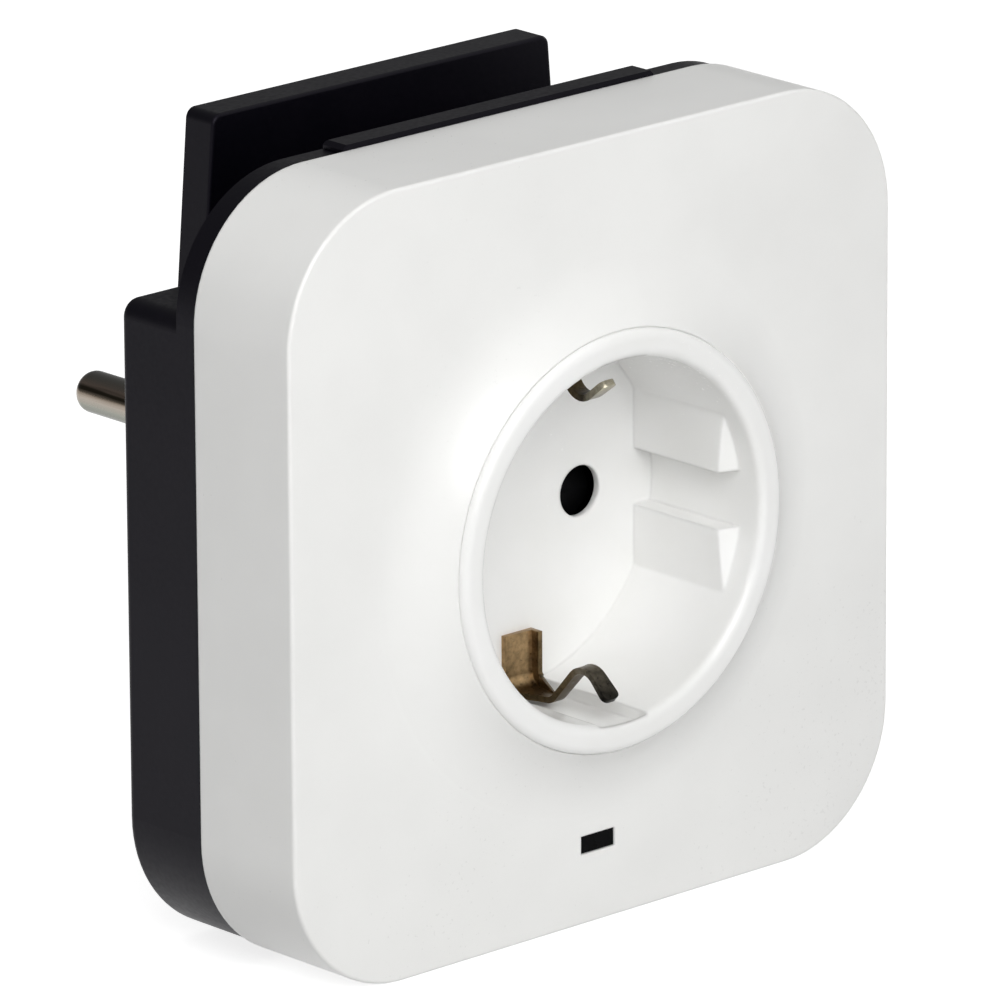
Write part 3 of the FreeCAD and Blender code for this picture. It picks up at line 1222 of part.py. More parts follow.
def housing_screws():
    """Four equal screws that hold rear cover, housing and front cover together."""
    body = new_body("housing_screws")
    seat = wall_side - size["screw_sink"]
    heads = Outline(body, "screw_heads_outline", level=seat)
    shanks = Outline(body, "screw_shanks_outline", level=size["cover_depth"] - size["screw_bite"])
    for across, up in screw_places:
        heads.circle(across, up, size["screw_head"])
        shanks.circle(across, up, size["screw_radius"])
    pad(heads, "screw_heads", size["screw_head_height"])
    pad(shanks, "screw_shanks", seat - size["cover_depth"] + size["screw_bite"] + 0.5)
    drives = Outline(body, "screw_drives_outline", level=seat + size["screw_head_height"] - 1.0)
    for across, up in screw_places:
        drives.box(across - 1.6, up - 0.4, across + 1.6, up + 0.4)
    cut(drives, "screw_drives", 2.0)
    crosses = Outline(body, "screw_crosses_outline", level=seat + size["screw_head_height"] - 1.0)
    for across, up in screw_places:
        crosses.box(across - 0.4, up - 1.6, across + 0.4, up + 1.6)
    cut(crosses, "screw_crosses", 2.0)


def board_screws():
    """Two small screws that hold the main board to the housing's back wall."""
    body = new_body("board_screws")
    heads = Outline(body, "board_screw_heads_outline", level=board_front - 1.2)
    shanks = Outline(body, "board_screw_shanks_outline", level=board_front - 0.5)
    for side in (-1, 1):
        heads.circle(side * board_screw_x, board_screw_z, dim(2.0))
        shanks.circle(side * board_screw_x, board_screw_z, dim(1.1))
    pad(heads, "board_screw_heads", 1.2)
    pad(shanks, "board_screw_shanks", housing_inner - board_front + 1.5)


front_cover()
socket_cup()
led_window()
light_pipe()
indicator_led()
middle_housing()
port_bezel()
for port_side, port_x in zip(("left", "right"), port_places):
    charging_port(port_side, port_x)
    port_tongue(port_side, port_x)
port_board()
main_board()
can("input_capacitor", input_can_x, input_can_z, size["input_can_radius"], size["input_can_length"])
can("output_capacitor_1", output_can_x, output_can_z, size["output_can_radius"], size["output_can_length"])
can("output_capacitor_2", output_can_x, output_can_z + size["output_can_radius"] * 2 + 0.9,
    size["output_can_radius"], size["output_can_length"])
transformer()
for varistor_number in (1, 2, 3):
    varistor(varistor_number, fuse_x - 4.6 - size["varistor_pitch"] * (varistor_number - 1))
thermal_fuse()
shutter_carrier()
safety_shutter()
shutter_spring()
earth_clip("top", 1)
earth_clip("bottom", -1)
earth_bracket()
for contact_side, contact_x in (("left", -pin_x), ("right", pin_x)):
    contact(contact_side, contact_x)
    strap(contact_side, contact_x)
    plug_pin(contact_side, contact_x)
rear_cover()
plug_body()
plug_earth_strip()
plug_earth_sleeve()
housing_screws()
board_screws()
doc.recompute()

problems = []
for item in doc.Objects:
    if "Invalid" in item.State or "Error" in item.State:
        problems.append(f"{item.Name} {item.State}")
pieces = [item for item in doc.Objects if item.TypeId == "PartDesign::Body"]
for item in pieces:
    if item.Shape.isNull() or not item.Shape.isValid() or not item.Shape.Solids:
        problems.append(f"{item.Label} has no valid solid")
if problems:
    raise RuntimeError("; ".join(problems))

os.makedirs("parts", exist_ok=True)
for item in pieces:
    item.Shape.exportStep(os.path.join("parts", f"{item.Label}.step"))
    box = item.Shape.BoundBox
    print(f"{item.Label}: {len(item.Shape.Solids)} solid, {item.Shape.Volume:.0f} mm3, "
          f"x {box.XMin:.1f}..{box.XMax:.1f} y {box.YMin:.1f}..{box.YMax:.1f} z {box.ZMin:.1f}..{box.ZMax:.1f}")
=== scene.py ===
# %% [markdown]
# # A plug-in charging module, dressed for a picture
#
# The object is a mains socket that plugs into a wall socket. It has a white front cover with a
# flared collar, a black housing behind it, a slot that holds a phone upright, and two charging
# ports in the floor of that slot. Its shape comes from the CAD model. This script gives each
# moulded, rolled and plated piece its finish, adds the small pieces that the CAD model leaves
# open, and sets up the floor, the lamps and the camera.
#
# Everything is in metres. X is to the right, Y goes into the wall and Z is up. The origin lies
# midway between the two plug pins, on the face of the plug.

# %% Load the CAD model
import math

import bpy
from mathutils import Matrix, Vector


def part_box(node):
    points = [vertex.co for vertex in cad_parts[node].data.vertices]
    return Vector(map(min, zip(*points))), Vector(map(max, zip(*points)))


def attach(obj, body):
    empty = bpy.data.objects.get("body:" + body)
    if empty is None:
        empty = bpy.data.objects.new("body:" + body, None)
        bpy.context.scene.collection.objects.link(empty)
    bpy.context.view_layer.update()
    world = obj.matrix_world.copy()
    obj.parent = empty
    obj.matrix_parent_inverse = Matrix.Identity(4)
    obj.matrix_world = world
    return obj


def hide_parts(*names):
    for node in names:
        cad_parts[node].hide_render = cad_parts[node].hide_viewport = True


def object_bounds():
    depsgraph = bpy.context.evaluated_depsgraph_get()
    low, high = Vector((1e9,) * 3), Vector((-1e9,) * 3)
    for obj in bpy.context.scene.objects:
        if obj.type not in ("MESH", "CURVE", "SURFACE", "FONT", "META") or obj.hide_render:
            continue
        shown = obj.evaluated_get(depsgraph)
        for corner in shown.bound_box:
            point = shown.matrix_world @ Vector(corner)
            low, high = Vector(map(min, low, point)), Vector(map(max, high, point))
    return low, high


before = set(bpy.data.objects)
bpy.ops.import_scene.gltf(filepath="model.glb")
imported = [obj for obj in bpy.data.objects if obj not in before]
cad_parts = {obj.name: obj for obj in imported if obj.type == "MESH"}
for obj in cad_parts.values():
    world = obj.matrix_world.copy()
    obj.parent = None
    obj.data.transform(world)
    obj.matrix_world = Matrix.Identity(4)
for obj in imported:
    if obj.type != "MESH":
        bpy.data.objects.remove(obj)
cad_low, cad_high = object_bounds()
print("cad box", [round(value, 4) for value in cad_low], [round(value, 4) for value in cad_high])

# %% [markdown]
# ## The look of the picture
#
# A product picture of a white object on white is easy to burn out. The Standard view keeps a
# colour about as it is written, so the lamps can be set until the white cover is nearly white
# and still shows its edges.

# %% View settings
scene = bpy.context.scene
scene.view_settings.view_transform = "Standard"
bpy.ops.object.select_all(action="DESELECT")
print("view transform:", scene.view_settings.view_transform)

# %% [markdown]
# ## Where the camera stands
#
# The picture was taken from far away with a long lens, from the left and a little above. The
# edges that run into the depth stay nearly parallel. The camera is turned and tilted first, and
# then moved back along the line of sight until the middle of the cover lands on its place in
# the frame. That keeps the lens shift at zero.

# %% Camera
MM = 0.001
FRAME_SIDE = 1000
FOCAL_PIXELS = 11424.0
face_middle = Vector((0.0, -54.1 * MM, -2.6 * MM))
face_pixel = (596.85, 534.0)
camera_turn, camera_tilt, camera_roll = 0.743, 0.298, -0.006
camera_distance = 1230.0 * MM

turning = (Matrix.Rotation(-camera_turn, 3, "Z") @ Matrix.Rotation(math.pi / 2 - camera_tilt, 3, "X")
           @ Matrix.Rotation(camera_roll, 3, "Z"))
camera_right, camera_up, camera_back = turning.col[0], turning.col[1], turning.col[2]
sight = (-camera_back + camera_right * (face_pixel[0] - FRAME_SIDE / 2) / FOCAL_PIXELS
         + camera_up * (FRAME_SIDE / 2 - face_pixel[1]) / FOCAL_PIXELS)
camera_data = bpy.data.cameras.new("picture_camera")
camera_data.sensor_width = 36.0
camera_data.lens = FOCAL_PIXELS * camera_data.sensor_width / FRAME_SIDE
camera_data.clip_start = 0.1
camera_data.clip_end = 20.0
camera = bpy.data.objects.new("picture_camera", camera_data)
scene.collection.objects.link(camera)
camera.matrix_world = Matrix.Translation(face_middle - sight * camera_distance) @ turning.to_4x4()
scene.camera = camera
print("lens", round(camera_data.lens, 1), "mm, camera at", [round(value, 3) for value in camera.location])

# %% [markdown]
# ## Colours and nodes
#
# A colour is picked as it looks on a screen, as a hex value, and the shader wants it linear.
# One function does that step. A second small function adds a node, sets it up and connects it,
# so that a finish reads from top to bottom like a recipe. Every finish reads the object's own
# coordinates, so a grain keeps its real size on a big cover and on a small window.

# %% Colour and node helpers
def linear(code):
    """Turn a screen colour such as "f2f2ef" into the linear values that shaders use."""
    levels = [int(code[place:place + 2], 16) / 255 for place in (0, 2, 4)]
    shares = [level / 12.92 if level <= 0.04045 else ((level + 0.055) / 1.055) ** 2.4 for level in levels]
    return shares + [1.0]


def add_node(tree, kind, sockets=None, **settings):
    """Add a node, set its own settings, then fill its sockets with values or with links."""
    node = tree.nodes.new(kind)
    for name, value in settings.items():
        setattr(node, name, value)
    for name, value in (sockets or {}).items():
        if isinstance(value, bpy.types.NodeSocket):
            tree.links.new(value, node.inputs[name])
        else:
            node.inputs[name].default_value = value
    return node


def start_material(name, **surface):
    """Start a material: return it with its node tree, its shader and the object's coordinates."""
    material = bpy.data.materials.new(name)
    material.use_nodes = True
    tree = material.node_tree
    tree.nodes.clear()
    sockets = {key.replace("_", " "): value for key, value in surface.items()}
    shader = add_node(tree, "ShaderNodeBsdfPrincipled", sockets)
    add_node(tree, "ShaderNodeOutputMaterial", {"Surface": shader.outputs["BSDF"]})
    place = add_node(tree, "ShaderNodeTexCoord")
    return material, tree, shader, place.outputs["Object"]


def tone_steps(ramp_node, steps):
    """Write the tones of a colour ramp, given as places from 0 to 1 with a hex colour each."""
    marks = ramp_node.color_ramp.elements
    for mark, (at, code) in zip((marks[0], marks[1]), (steps[0], steps[-1])):
        mark.position = at
        mark.color = linear(code)
    for at, code in steps[1:-1]:
        marks.new(at).color = linear(code)


# %% [markdown]
# ## Finish of the white cover
#
# The cover and the socket insert are moulded in a white plastic of the polycarbonate family. It
# is satin: a lamp gives it a wide, soft shine. Close up it is never one flat tone. The melt
# leaves slow changes of tone across the face, the mould's spark-eroded grain breaks up the
# shine, and handling leaves a few dull patches. The grain is about 0.1 mm on the real piece,
# too fine for this picture, so it is drawn 0.45 mm wide.

# %% White satin polycarbonate
def moulded_plastic(name, light_tone, dark_tone, tone_width, gloss, grain_width, grain_depth,
                    edge_radius=0.0, **surface):
    """A moulded plastic: slow changes of tone, a fine grain, uneven gloss and softened edges."""
    material, tree, shader, place = start_material(name, **surface)
    drift = add_node(tree, "ShaderNodeTexNoise", {"Vector": place, "Scale": 1 / tone_width, "Detail": 3.0})
    tones = add_node(tree, "ShaderNodeValToRGB", {"Fac": drift.outputs["Fac"]})
    tone_steps(tones, ((0.35, dark_tone), (0.65, light_tone)))
    tree.links.new(tones.outputs["Color"], shader.inputs["Base Color"])
    grain = add_node(tree, "ShaderNodeTexNoise", {"Vector": place, "Scale": 1 / grain_width, "Detail": 2.0})
    patches = add_node(tree, "ShaderNodeTexNoise", {"Vector": place, "Scale": 0.35 / tone_width,
                                                    "Detail": 4.0})
    mixed = add_node(tree, "ShaderNodeMath", {0: grain.outputs["Fac"], 1: patches.outputs["Fac"]},
                     operation="MULTIPLY")
    dull = add_node(tree, "ShaderNodeMapRange", {"Value": mixed.outputs["Value"], "From Min": 0.1,
                                                 "From Max": 0.45, "To Min": gloss[0],
                                                 "To Max": gloss[1]})
    tree.links.new(dull.outputs["Result"], shader.inputs["Roughness"])
    relief = add_node(tree, "ShaderNodeBump", {"Height": grain.outputs["Fac"], "Distance": grain_depth,
                                               "Strength": 0.6})
    if edge_radius:
        soft_edge = add_node(tree, "ShaderNodeBevel", {"Radius": edge_radius}, samples=6)
        tree.links.new(soft_edge.outputs["Normal"], relief.inputs["Normal"])
    tree.links.new(relief.outputs["Normal"], shader.inputs["Normal"])
    return material


# Satin polycarbonate: a wide, soft shine and a grain that only a close look shows.
white_satin = moulded_plastic("white_satin_polycarbonate", "f3f3f1", "eeeeec", 22 * MM, (0.27, 0.36),
                              0.45 * MM, 0.004 * MM, 0.3 * MM, IOR=1.55)
# The socket insert comes from a smoother mould, with a tighter shine. Its white is painted a touch
# lighter than the cover's, as painted light that lifts the shade in the recess.
white_gloss_painted_light = moulded_plastic("white_gloss_polycarbonate_painted_light", "f7f7f6", "f3f3f1", 14 * MM, (0.2, 0.28),
                              0.45 * MM, 0.003 * MM, 0.6 * MM, IOR=1.55)
print("made", white_satin.name, white_gloss_painted_light.name)

# %% [markdown]
# ## Finish of the black housing
#
# The housing, the phone rest and the plug body are black ABS with a coarser, duller grain that
# hides finger marks. Its grain is about 0.3 mm, drawn 0.6 mm wide. The black has a touch of
# blue, as carbon black has in side light. A grain this coarse breaks up most of the mirror
# reflection, so the specular level is low, and faces turned away from the lamps are nearly black.

# %% Black grained ABS
# Grained ABS: no mirror image, only a faint grey sheen on faces that look up or at a lamp.
black_grained = moulded_plastic("black_grained_abs", "050409", "020206", 9 * MM, (0.36, 0.5), 0.6 * MM,
                                0.012 * MM, IOR=1.53, Specular_IOR_Level=0.105,
                                Specular_Tint=linear("f0e7ff"))
print("made", black_grained.name)

# %% [markdown]
# ## Small finishes
#
# The small pieces are moulded, dipped or sintered, and the same recipe with other numbers makes
# each of them. A polished window gets nearly no grain, a pressed ferrite core gets a rough one.
# Their grains are finer than 0.1 mm in truth and are drawn 0.3 to 0.9 mm wide, so that they show.

# %% Window and light pipe
# Smoked acrylic: polished and almost black, so the indicator behind it stays hidden.
smoked_acrylic = moulded_plastic("smoked_acrylic", "050506", "030304", 4 * MM, (0.1, 0.2), 0.8 * MM,
                                 0.001 * MM, IOR=1.49, Specular_IOR_Level=0.03)
# Clear acrylic: glassy, with a trace of green through its length.
clear_acrylic = moulded_plastic("clear_acrylic", "f4f7f4", "eef2ee", 6 * MM, (0.06, 0.14), 0.8 * MM,
                                0.001 * MM, IOR=1.49, Transmission_Weight=0.95)
print("made", smoked_acrylic.name, clear_acrylic.name)

# %% Ports and shutter
# Liquid crystal polymer: a warm off-white that takes no shine.
port_plastic = moulded_plastic("port_liquid_crystal_polymer", "e6e5e0", "d8d7d1", 5 * MM, (0.4, 0.5),
                               0.4 * MM, 0.004 * MM, IOR=1.6)
# Black nylon: waxy and dull. Its black is painted shade, so that each entry hole looks dark and
# empty in front of it.
shutter_nylon_painted_shade = moulded_plastic("black_shutter_nylon_painted_shade", "050506", "020203", 8 * MM, (0.5, 0.65), 0.5 * MM,
                                0.006 * MM, IOR=1.53, Specular_IOR_Level=0.05)
print("made", port_plastic.name, shutter_nylon_painted_shade.name)

# %% Board and components
# Dipped epoxy: a thick blue skin with soft lumps.
varistor_epoxy = moulded_plastic("varistor_epoxy", "2a5fa8", "204d8c", 3 * MM, (0.3, 0.45), 0.9 * MM,
                                 0.03 * MM, IOR=1.56)
# Shrink film: a smooth dark sleeve drawn tight round a can.
capacitor_film = moulded_plastic("capacitor_shrink_film", "232838", "1a1e2b", 3 * MM, (0.18, 0.3),
                                 0.9 * MM, 0.01 * MM, IOR=1.52)
# Sintered ferrite: a dry dark grey stone with small pits.
ferrite_core = moulded_plastic("sintered_ferrite", "2b2b2d", "1d1d1f", 2 * MM, (0.55, 0.75), 0.3 * MM,
                               0.02 * MM, IOR=1.9)
# Solder mask on laminate: green lacquer with a low shine over glass cloth.
board_laminate = moulded_plastic("solder_mask_laminate", "1c6a3c", "14502d", 3 * MM, (0.25, 0.4),
                                 0.7 * MM, 0.01 * MM, IOR=1.55)
print("made", varistor_epoxy.name, capacitor_film.name, ferrite_core.name, board_laminate.name)

# %% [markdown]
# ## Sheet metal and strip
#
# Rolled metal shows fine lines along the way it was rolled, and slightly darker patches where the
# plating is thin. The lines are about 0.05 mm on the real strip and are drawn 0.2 mm wide, on the
# gold 0.15 mm. Noise that is stretched along one axis makes such lines, and a second noise makes
# the patches.

# %% Rolled metals
def fine_lines(tree, shader, lines, gloss, depth):
    """Let fine lines change the gloss of a metal and cut a little into its surface."""
    uneven = add_node(tree, "ShaderNodeMapRange", {"Value": lines.outputs["Fac"], "From Min": 0.3,
                                                   "From Max": 0.7, "To Min": gloss[0],
                                                   "To Max": gloss[1]})
    tree.links.new(uneven.outputs["Result"], shader.inputs["Roughness"])
    relief = add_node(tree, "ShaderNodeBump", {"Height": lines.outputs["Fac"], "Distance": depth,
                                               "Strength": 0.5})
    tree.links.new(relief.outputs["Normal"], shader.inputs["Normal"])


def drawn_metal(name, bright_tone, dull_tone, gloss, line_width, stretch, patch_width=4 * MM):
    """A metal with fine lines along one direction and slow changes of tone."""
    material, tree, shader, place = start_material(name, Metallic=1.0)
    turned = add_node(tree, "ShaderNodeMapping", {"Vector": place, "Scale": stretch})
    lines = add_node(tree, "ShaderNodeTexNoise", {"Vector": turned.outputs["Vector"],
                                                  "Scale": 1 / line_width, "Detail": 3.0})
    patches = add_node(tree, "ShaderNodeTexNoise", {"Vector": place, "Scale": 1 / patch_width,
                                                    "Detail": 4.0})
    tones = add_node(tree, "ShaderNodeValToRGB", {"Fac": patches.outputs["Fac"]})
    tone_steps(tones, ((0.38, dull_tone), (0.62, bright_tone)))
    tree.links.new(tones.outputs["Color"], shader.inputs["Base Color"])
    fine_lines(tree, shader, lines, gloss, 0.006 * MM)
    return material


# Tinned sheet steel: a bright, cool silver with lines across the port shells.
port_steel = drawn_metal("tinned_sheet_steel", "c9cbcd", "aeb0b2", (0.2, 0.34), 0.2 * MM, (0.08, 1.0, 1.0))
# Stamped brass: yellow, and duller where it was pressed.
contact_brass = drawn_metal("stamped_brass", "d8b566", "b48f45", (0.2, 0.36), 0.2 * MM, (1.0, 0.08, 1.0))
# Gold flash: a thin, even gold over the contacts of the ports.
gold_flash = drawn_metal("gold_flashed_contacts", "e8c26a", "caa04a", (0.18, 0.3), 0.15 * MM,
                         (1.0, 1.0, 0.08), 2 * MM)
print("made", port_steel.name, contact_brass.name, gold_flash.name)

# %% [markdown]
# ## The plug pins and their painted reflection
#
# The plug pins are nickel on brass, a warm silver that has gone a little grey. Each time the plug
# goes into a wall socket, springs rub along its pins from the front to the back, and that leaves
# fine lines along them. The colour of a pin also carries a painted reflection: a ramp over the
# height paints long bright and dark bands, from the top of a pin to its bottom, with one dark
# brown band, where the white surroundings and the black housing would be mirrored. Stretched
# noise moves the edges of the bands up and down by 0.35 mm, so that no edge is ruled.

# %% Nickel with a painted reflection
PIN_RADIUS = 2.4 * MM
# These tones paint a reflection into the pin's colour: bright bands for the white surroundings, dark bands
# for the black housing.
PIN_REFLECTION_TONES = ((0.1, "55564c"), (0.3, "8c8d84"), (0.46, "a39a90"), (0.58, "85796c"), (0.66, "2b261d"),
             (0.72, "2f2a22"), (0.8, "6f6259"), (0.95, "55534e"))


def nickel_with_painted_reflection(name):
    """Nickel plate with lines along a pin, and a painted reflection in bands from its bottom to its top."""
    material, tree, shader, place = start_material(name, Metallic=1.0)
    turned = add_node(tree, "ShaderNodeMapping", {"Vector": place, "Scale": (1.0, 0.05, 1.0)})
    lines = add_node(tree, "ShaderNodeTexNoise", {"Vector": turned.outputs["Vector"],
                                                  "Scale": 1 / (0.5 * MM), "Detail": 3.0})
    split = add_node(tree, "ShaderNodeSeparateXYZ", {"Vector": place})
    wander = add_node(tree, "ShaderNodeMapRange", {"Value": lines.outputs["Fac"], "To Min": -0.35 * MM,
                                                   "To Max": 0.35 * MM})
    height = add_node(tree, "ShaderNodeMath", {0: split.outputs["Z"], 1: wander.outputs["Result"]},
                      operation="ADD")
    share = add_node(tree, "ShaderNodeMapRange", {"Value": height.outputs[0], "From Min": -PIN_RADIUS,
                                                  "From Max": PIN_RADIUS})
    tones = add_node(tree, "ShaderNodeValToRGB", {"Fac": share.outputs["Result"]})
    tone_steps(tones, PIN_REFLECTION_TONES)
    tree.links.new(tones.outputs["Color"], shader.inputs["Base Color"])
    fine_lines(tree, shader, lines, (0.18, 0.34), 0.01 * MM)
    return material


pin_nickel_painted_reflection = nickel_with_painted_reflection("rubbed_nickel_plate_painted_reflection")
print("made", pin_nickel_painted_reflection.name)

# %% [markdown]
# ## The tarnished earth clips
#
# The clips are tinned bronze. A ramp over the depth carries their tones. On the lower clip the foot
# deep in the recess is brown, the arm is darker, the hump lighter and the free tip nearly black. The
# upper clip gets a copy of the bronze with painted light and shade: its hump, which is turned down,
# is painted dark as painted shade, and its arm and tip are painted light. A noise of 1.6 mm makes the
# borders of the tones uneven, and a finer one soils them.

# %% Bronze tones, with painted light and shade on the upper clip
CLIP_FRONT, CLIP_BACK = -57.0 * MM, -41.0 * MM
TONE_WANDER = 1.4 * MM


def bronze_with_tarnish_and_painted_light(name, tip, arm, hump, bend, foot):
    """Bronze of an earth clip, with a tone for its tip, arm, hump, bends and foot, which can carry painted
    light and shade.
    """
    material, tree, shader, place = start_material(name, Metallic=1.0)
    split = add_node(tree, "ShaderNodeSeparateXYZ", {"Vector": place})
    patches = add_node(tree, "ShaderNodeTexNoise", {"Vector": place, "Scale": 1 / (1.6 * MM), "Detail": 4.0})
    wander = add_node(tree, "ShaderNodeMapRange", {"Value": patches.outputs["Fac"],
                                                   "To Min": -TONE_WANDER, "To Max": TONE_WANDER})
    depth = add_node(tree, "ShaderNodeMath", {0: split.outputs["Y"], 1: wander.outputs["Result"]},
                     operation="ADD")
    share = add_node(tree, "ShaderNodeMapRange", {"Value": depth.outputs[0], "From Min": CLIP_FRONT,
                                                  "From Max": CLIP_BACK})
    tones = add_node(tree, "ShaderNodeValToRGB", {"Fac": share.outputs["Result"]})
    tone_steps(tones, ((0.05, tip), (0.16, arm), (0.27, hump), (0.42, bend), (0.86, bend), (0.98, foot)))
    lines = add_node(tree, "ShaderNodeTexNoise", {"Vector": place, "Scale": 1 / (0.5 * MM), "Detail": 3.0})
    soil = add_node(tree, "ShaderNodeMapRange", {"Value": lines.outputs["Fac"], "From Min": 0.35,
                                                 "From Max": 0.65, "To Min": 0.72, "To Max": 1.1})
    soiled = add_node(tree, "ShaderNodeVectorMath", {0: tones.outputs["Color"],
                                                     "Scale": soil.outputs["Result"]}, operation="SCALE")
    tree.links.new(soiled.outputs["Vector"], shader.inputs["Base Color"])
    fine_lines(tree, shader, lines, (0.26, 0.45), 0.008 * MM)
    return material


# The second bronze below is the upper clip's copy: painted shade on its hump, which is turned down, and
# painted light on its arm and tip.
clip_bronze = bronze_with_tarnish_and_painted_light("tarnished_spring_bronze", "24221e", "4a453c", "787062", "5a4c36", "a88c66")
high_bronze_painted_light_and_shade = bronze_with_tarnish_and_painted_light("spring_bronze_high_painted_light_and_shade", "b8b29e", "968f7f", "4c473c", "5a4b32",
                               "a88c66")
print("made", clip_bronze.name, high_bronze_painted_light_and_shade.name)

# %% [markdown]
# ## Give each CAD piece its finish
#
# Each CAD piece carries one material slot from the model's record. The slot says what the piece
# is made of, so one table from slot to finish dresses them all. One piece differs from the rest
# of its slot: the socket insert shines more than the cover, and its white is painted a touch
# lighter, as painted light that lifts the shade in the recess.

# %% Dress the CAD pieces
FINISHES = {
    "white_plastic": white_satin,
    "black_plastic": black_grained,
    "smoked_lens": smoked_acrylic,
    "clear_pipe": clear_acrylic,
    "plated_steel": port_steel,
    "port_plastic": port_plastic,
    "circuit_board": board_laminate,
    "capacitor_sleeve": capacitor_film,
    "ferrite": ferrite_core,
    "varistor_coat": varistor_epoxy,
    "shutter_plastic": shutter_nylon_painted_shade,
    "clip_metal": clip_bronze,
    "contact_brass": contact_brass,
    "nickel_plate": pin_nickel_painted_reflection,
}
for name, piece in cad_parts.items():
    for holder in piece.material_slots:
        given = holder.material.name.split(".")[0]
        if given in FINISHES:
            holder.material = FINISHES[given]
        else:
            print("no finish for", name, given)
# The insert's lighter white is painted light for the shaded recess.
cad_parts["socket_cup"].material_slots[0].material = white_gloss_painted_light
print("dressed", len(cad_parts), "pieces")

# %% [markdown]
# ## Earth clips
#
# Each earth clip is one strip of spring bronze. Its flat foot stands on the floor of the recess,
# with one edge folded up to stiffen it. The strip bends forward along the wall, gets narrower,
# rises to a round hump that presses on the side contact of a plug, and ends in a free rounded
# tip. A press tool bends such a strip step by step, and so do the next cells: the section is
# drawn once, pushed along the straight stretches and turned round each bend. First come the
# small tools for that: choose corners by their place, push them, narrow a section, close up
# the mesh and soften its edges.

# %% Tools for bending a strip
def choose(piece, test):
    """In edit mode, select the corners whose place passes a test."""
    bpy.ops.object.mode_set(mode="OBJECT")
    for corner in piece.data.vertices:
        corner.select = test(corner.co)
    for edge in piece.data.edges:
        edge.select = all(piece.data.vertices[number].select for number in edge.vertices)
    for face in piece.data.polygons:
        face.select = all(piece.data.vertices[number].select for number in face.vertices)
    bpy.ops.object.mode_set(mode="EDIT")


def push(step):
    """Extrude what is selected by a step."""
    bpy.ops.mesh.extrude_region_move(TRANSFORM_OT_translate={"value": tuple(step)})


def chosen_middle(piece):
    """The middle of the selected corners."""
    piece.update_from_editmode()
    places = [corner.co for corner in piece.data.vertices if corner.select]
    return sum(places, Vector()) / len(places)


def narrow(piece, share):
    """Scale the selected section across the strip only."""
    middle = chosen_middle(piece)
    bpy.ops.transform.resize(value=(share, 1, 1), center_override=(0, middle.y, middle.z))


def close_up(piece, reach):
    """Merge corners that lie within reach of each other, and turn all faces outwards."""
    bpy.ops.object.select_all(action="DESELECT")
    piece.select_set(True)
    bpy.context.view_layer.objects.active = piece
    bpy.ops.object.mode_set(mode="EDIT")
    bpy.ops.mesh.select_mode(type="VERT")
    bpy.ops.mesh.select_all(action="SELECT")
    bpy.ops.mesh.remove_doubles(threshold=reach)
    bpy.ops.mesh.normals_make_consistent(inside=False)
    bpy.ops.object.mode_set(mode="OBJECT")


def soften_edges(piece, title, radius, segments, reach):
    """Close up the mesh within reach, round its sharp edges, and shade it smooth."""
    close_up(piece, reach)
    bevel = piece.modifiers.new(title, "BEVEL")
    bevel.width = radius
    bevel.segments = segments
    bevel.limit_method = "ANGLE"
    bevel.angle_limit = math.radians(50)
    bpy.ops.object.modifier_apply(modifier=bevel.name)
    close_up(piece, 0.004 * MM)
    bpy.ops.object.shade_smooth_by_angle(angle=math.radians(40))


print("tools ready:", [tool.__name__ for tool in (choose, push, narrow, close_up, soften_edges)])

# %% [markdown]
# ## Bending one clip
#
# The section is a thin rectangle that lies across the strip. A bisect marks off the edge that is
# folded up, and only that part is pushed forward. Then the whole section runs down the foot,
# round the bend, along the wall, up the arm, over the hump and down to the tip. A spin turns it
# round each bend: a positive angle bends it up, a negative one bends it over the hump. In front
# of the arm the fold is pressed flat, because a folded strip wouldn't spring. The tip's corners
# are rounded last.

# %% Bend the lower clip
SOCKET_AXIS_Z = -2.6 * MM
FLOOR_Y = -41.2 * MM
STRIP = 0.7 * MM
FOOT_HALF, FOLD_WIDTH, FOLD_HEIGHT = 2.2 * MM, 0.6 * MM, 1.1 * MM
FOOT_TOP, SEAT = -14.0 * MM, -20.7 * MM
BEND_RADIUS, HUMP_RADIUS, TIP_RADIUS = 1.4 * MM, 2.0 * MM, 0.8 * MM
TIP_DEPTH, SLACK = 1.0 * MM, 0.1 * MM
SEAT_RUN, ARM_RUN, TIP_RUN = 3.4 * MM, 4.5 * MM, 3.0 * MM
SEAT_SHARE, ARM_SHARE, HUMP_SHARE, TIP_SHARE = 0.88, 0.42, 1.15, 1.2
RISE_ANGLE, HUMP_ANGLE = math.radians(48), math.radians(91)


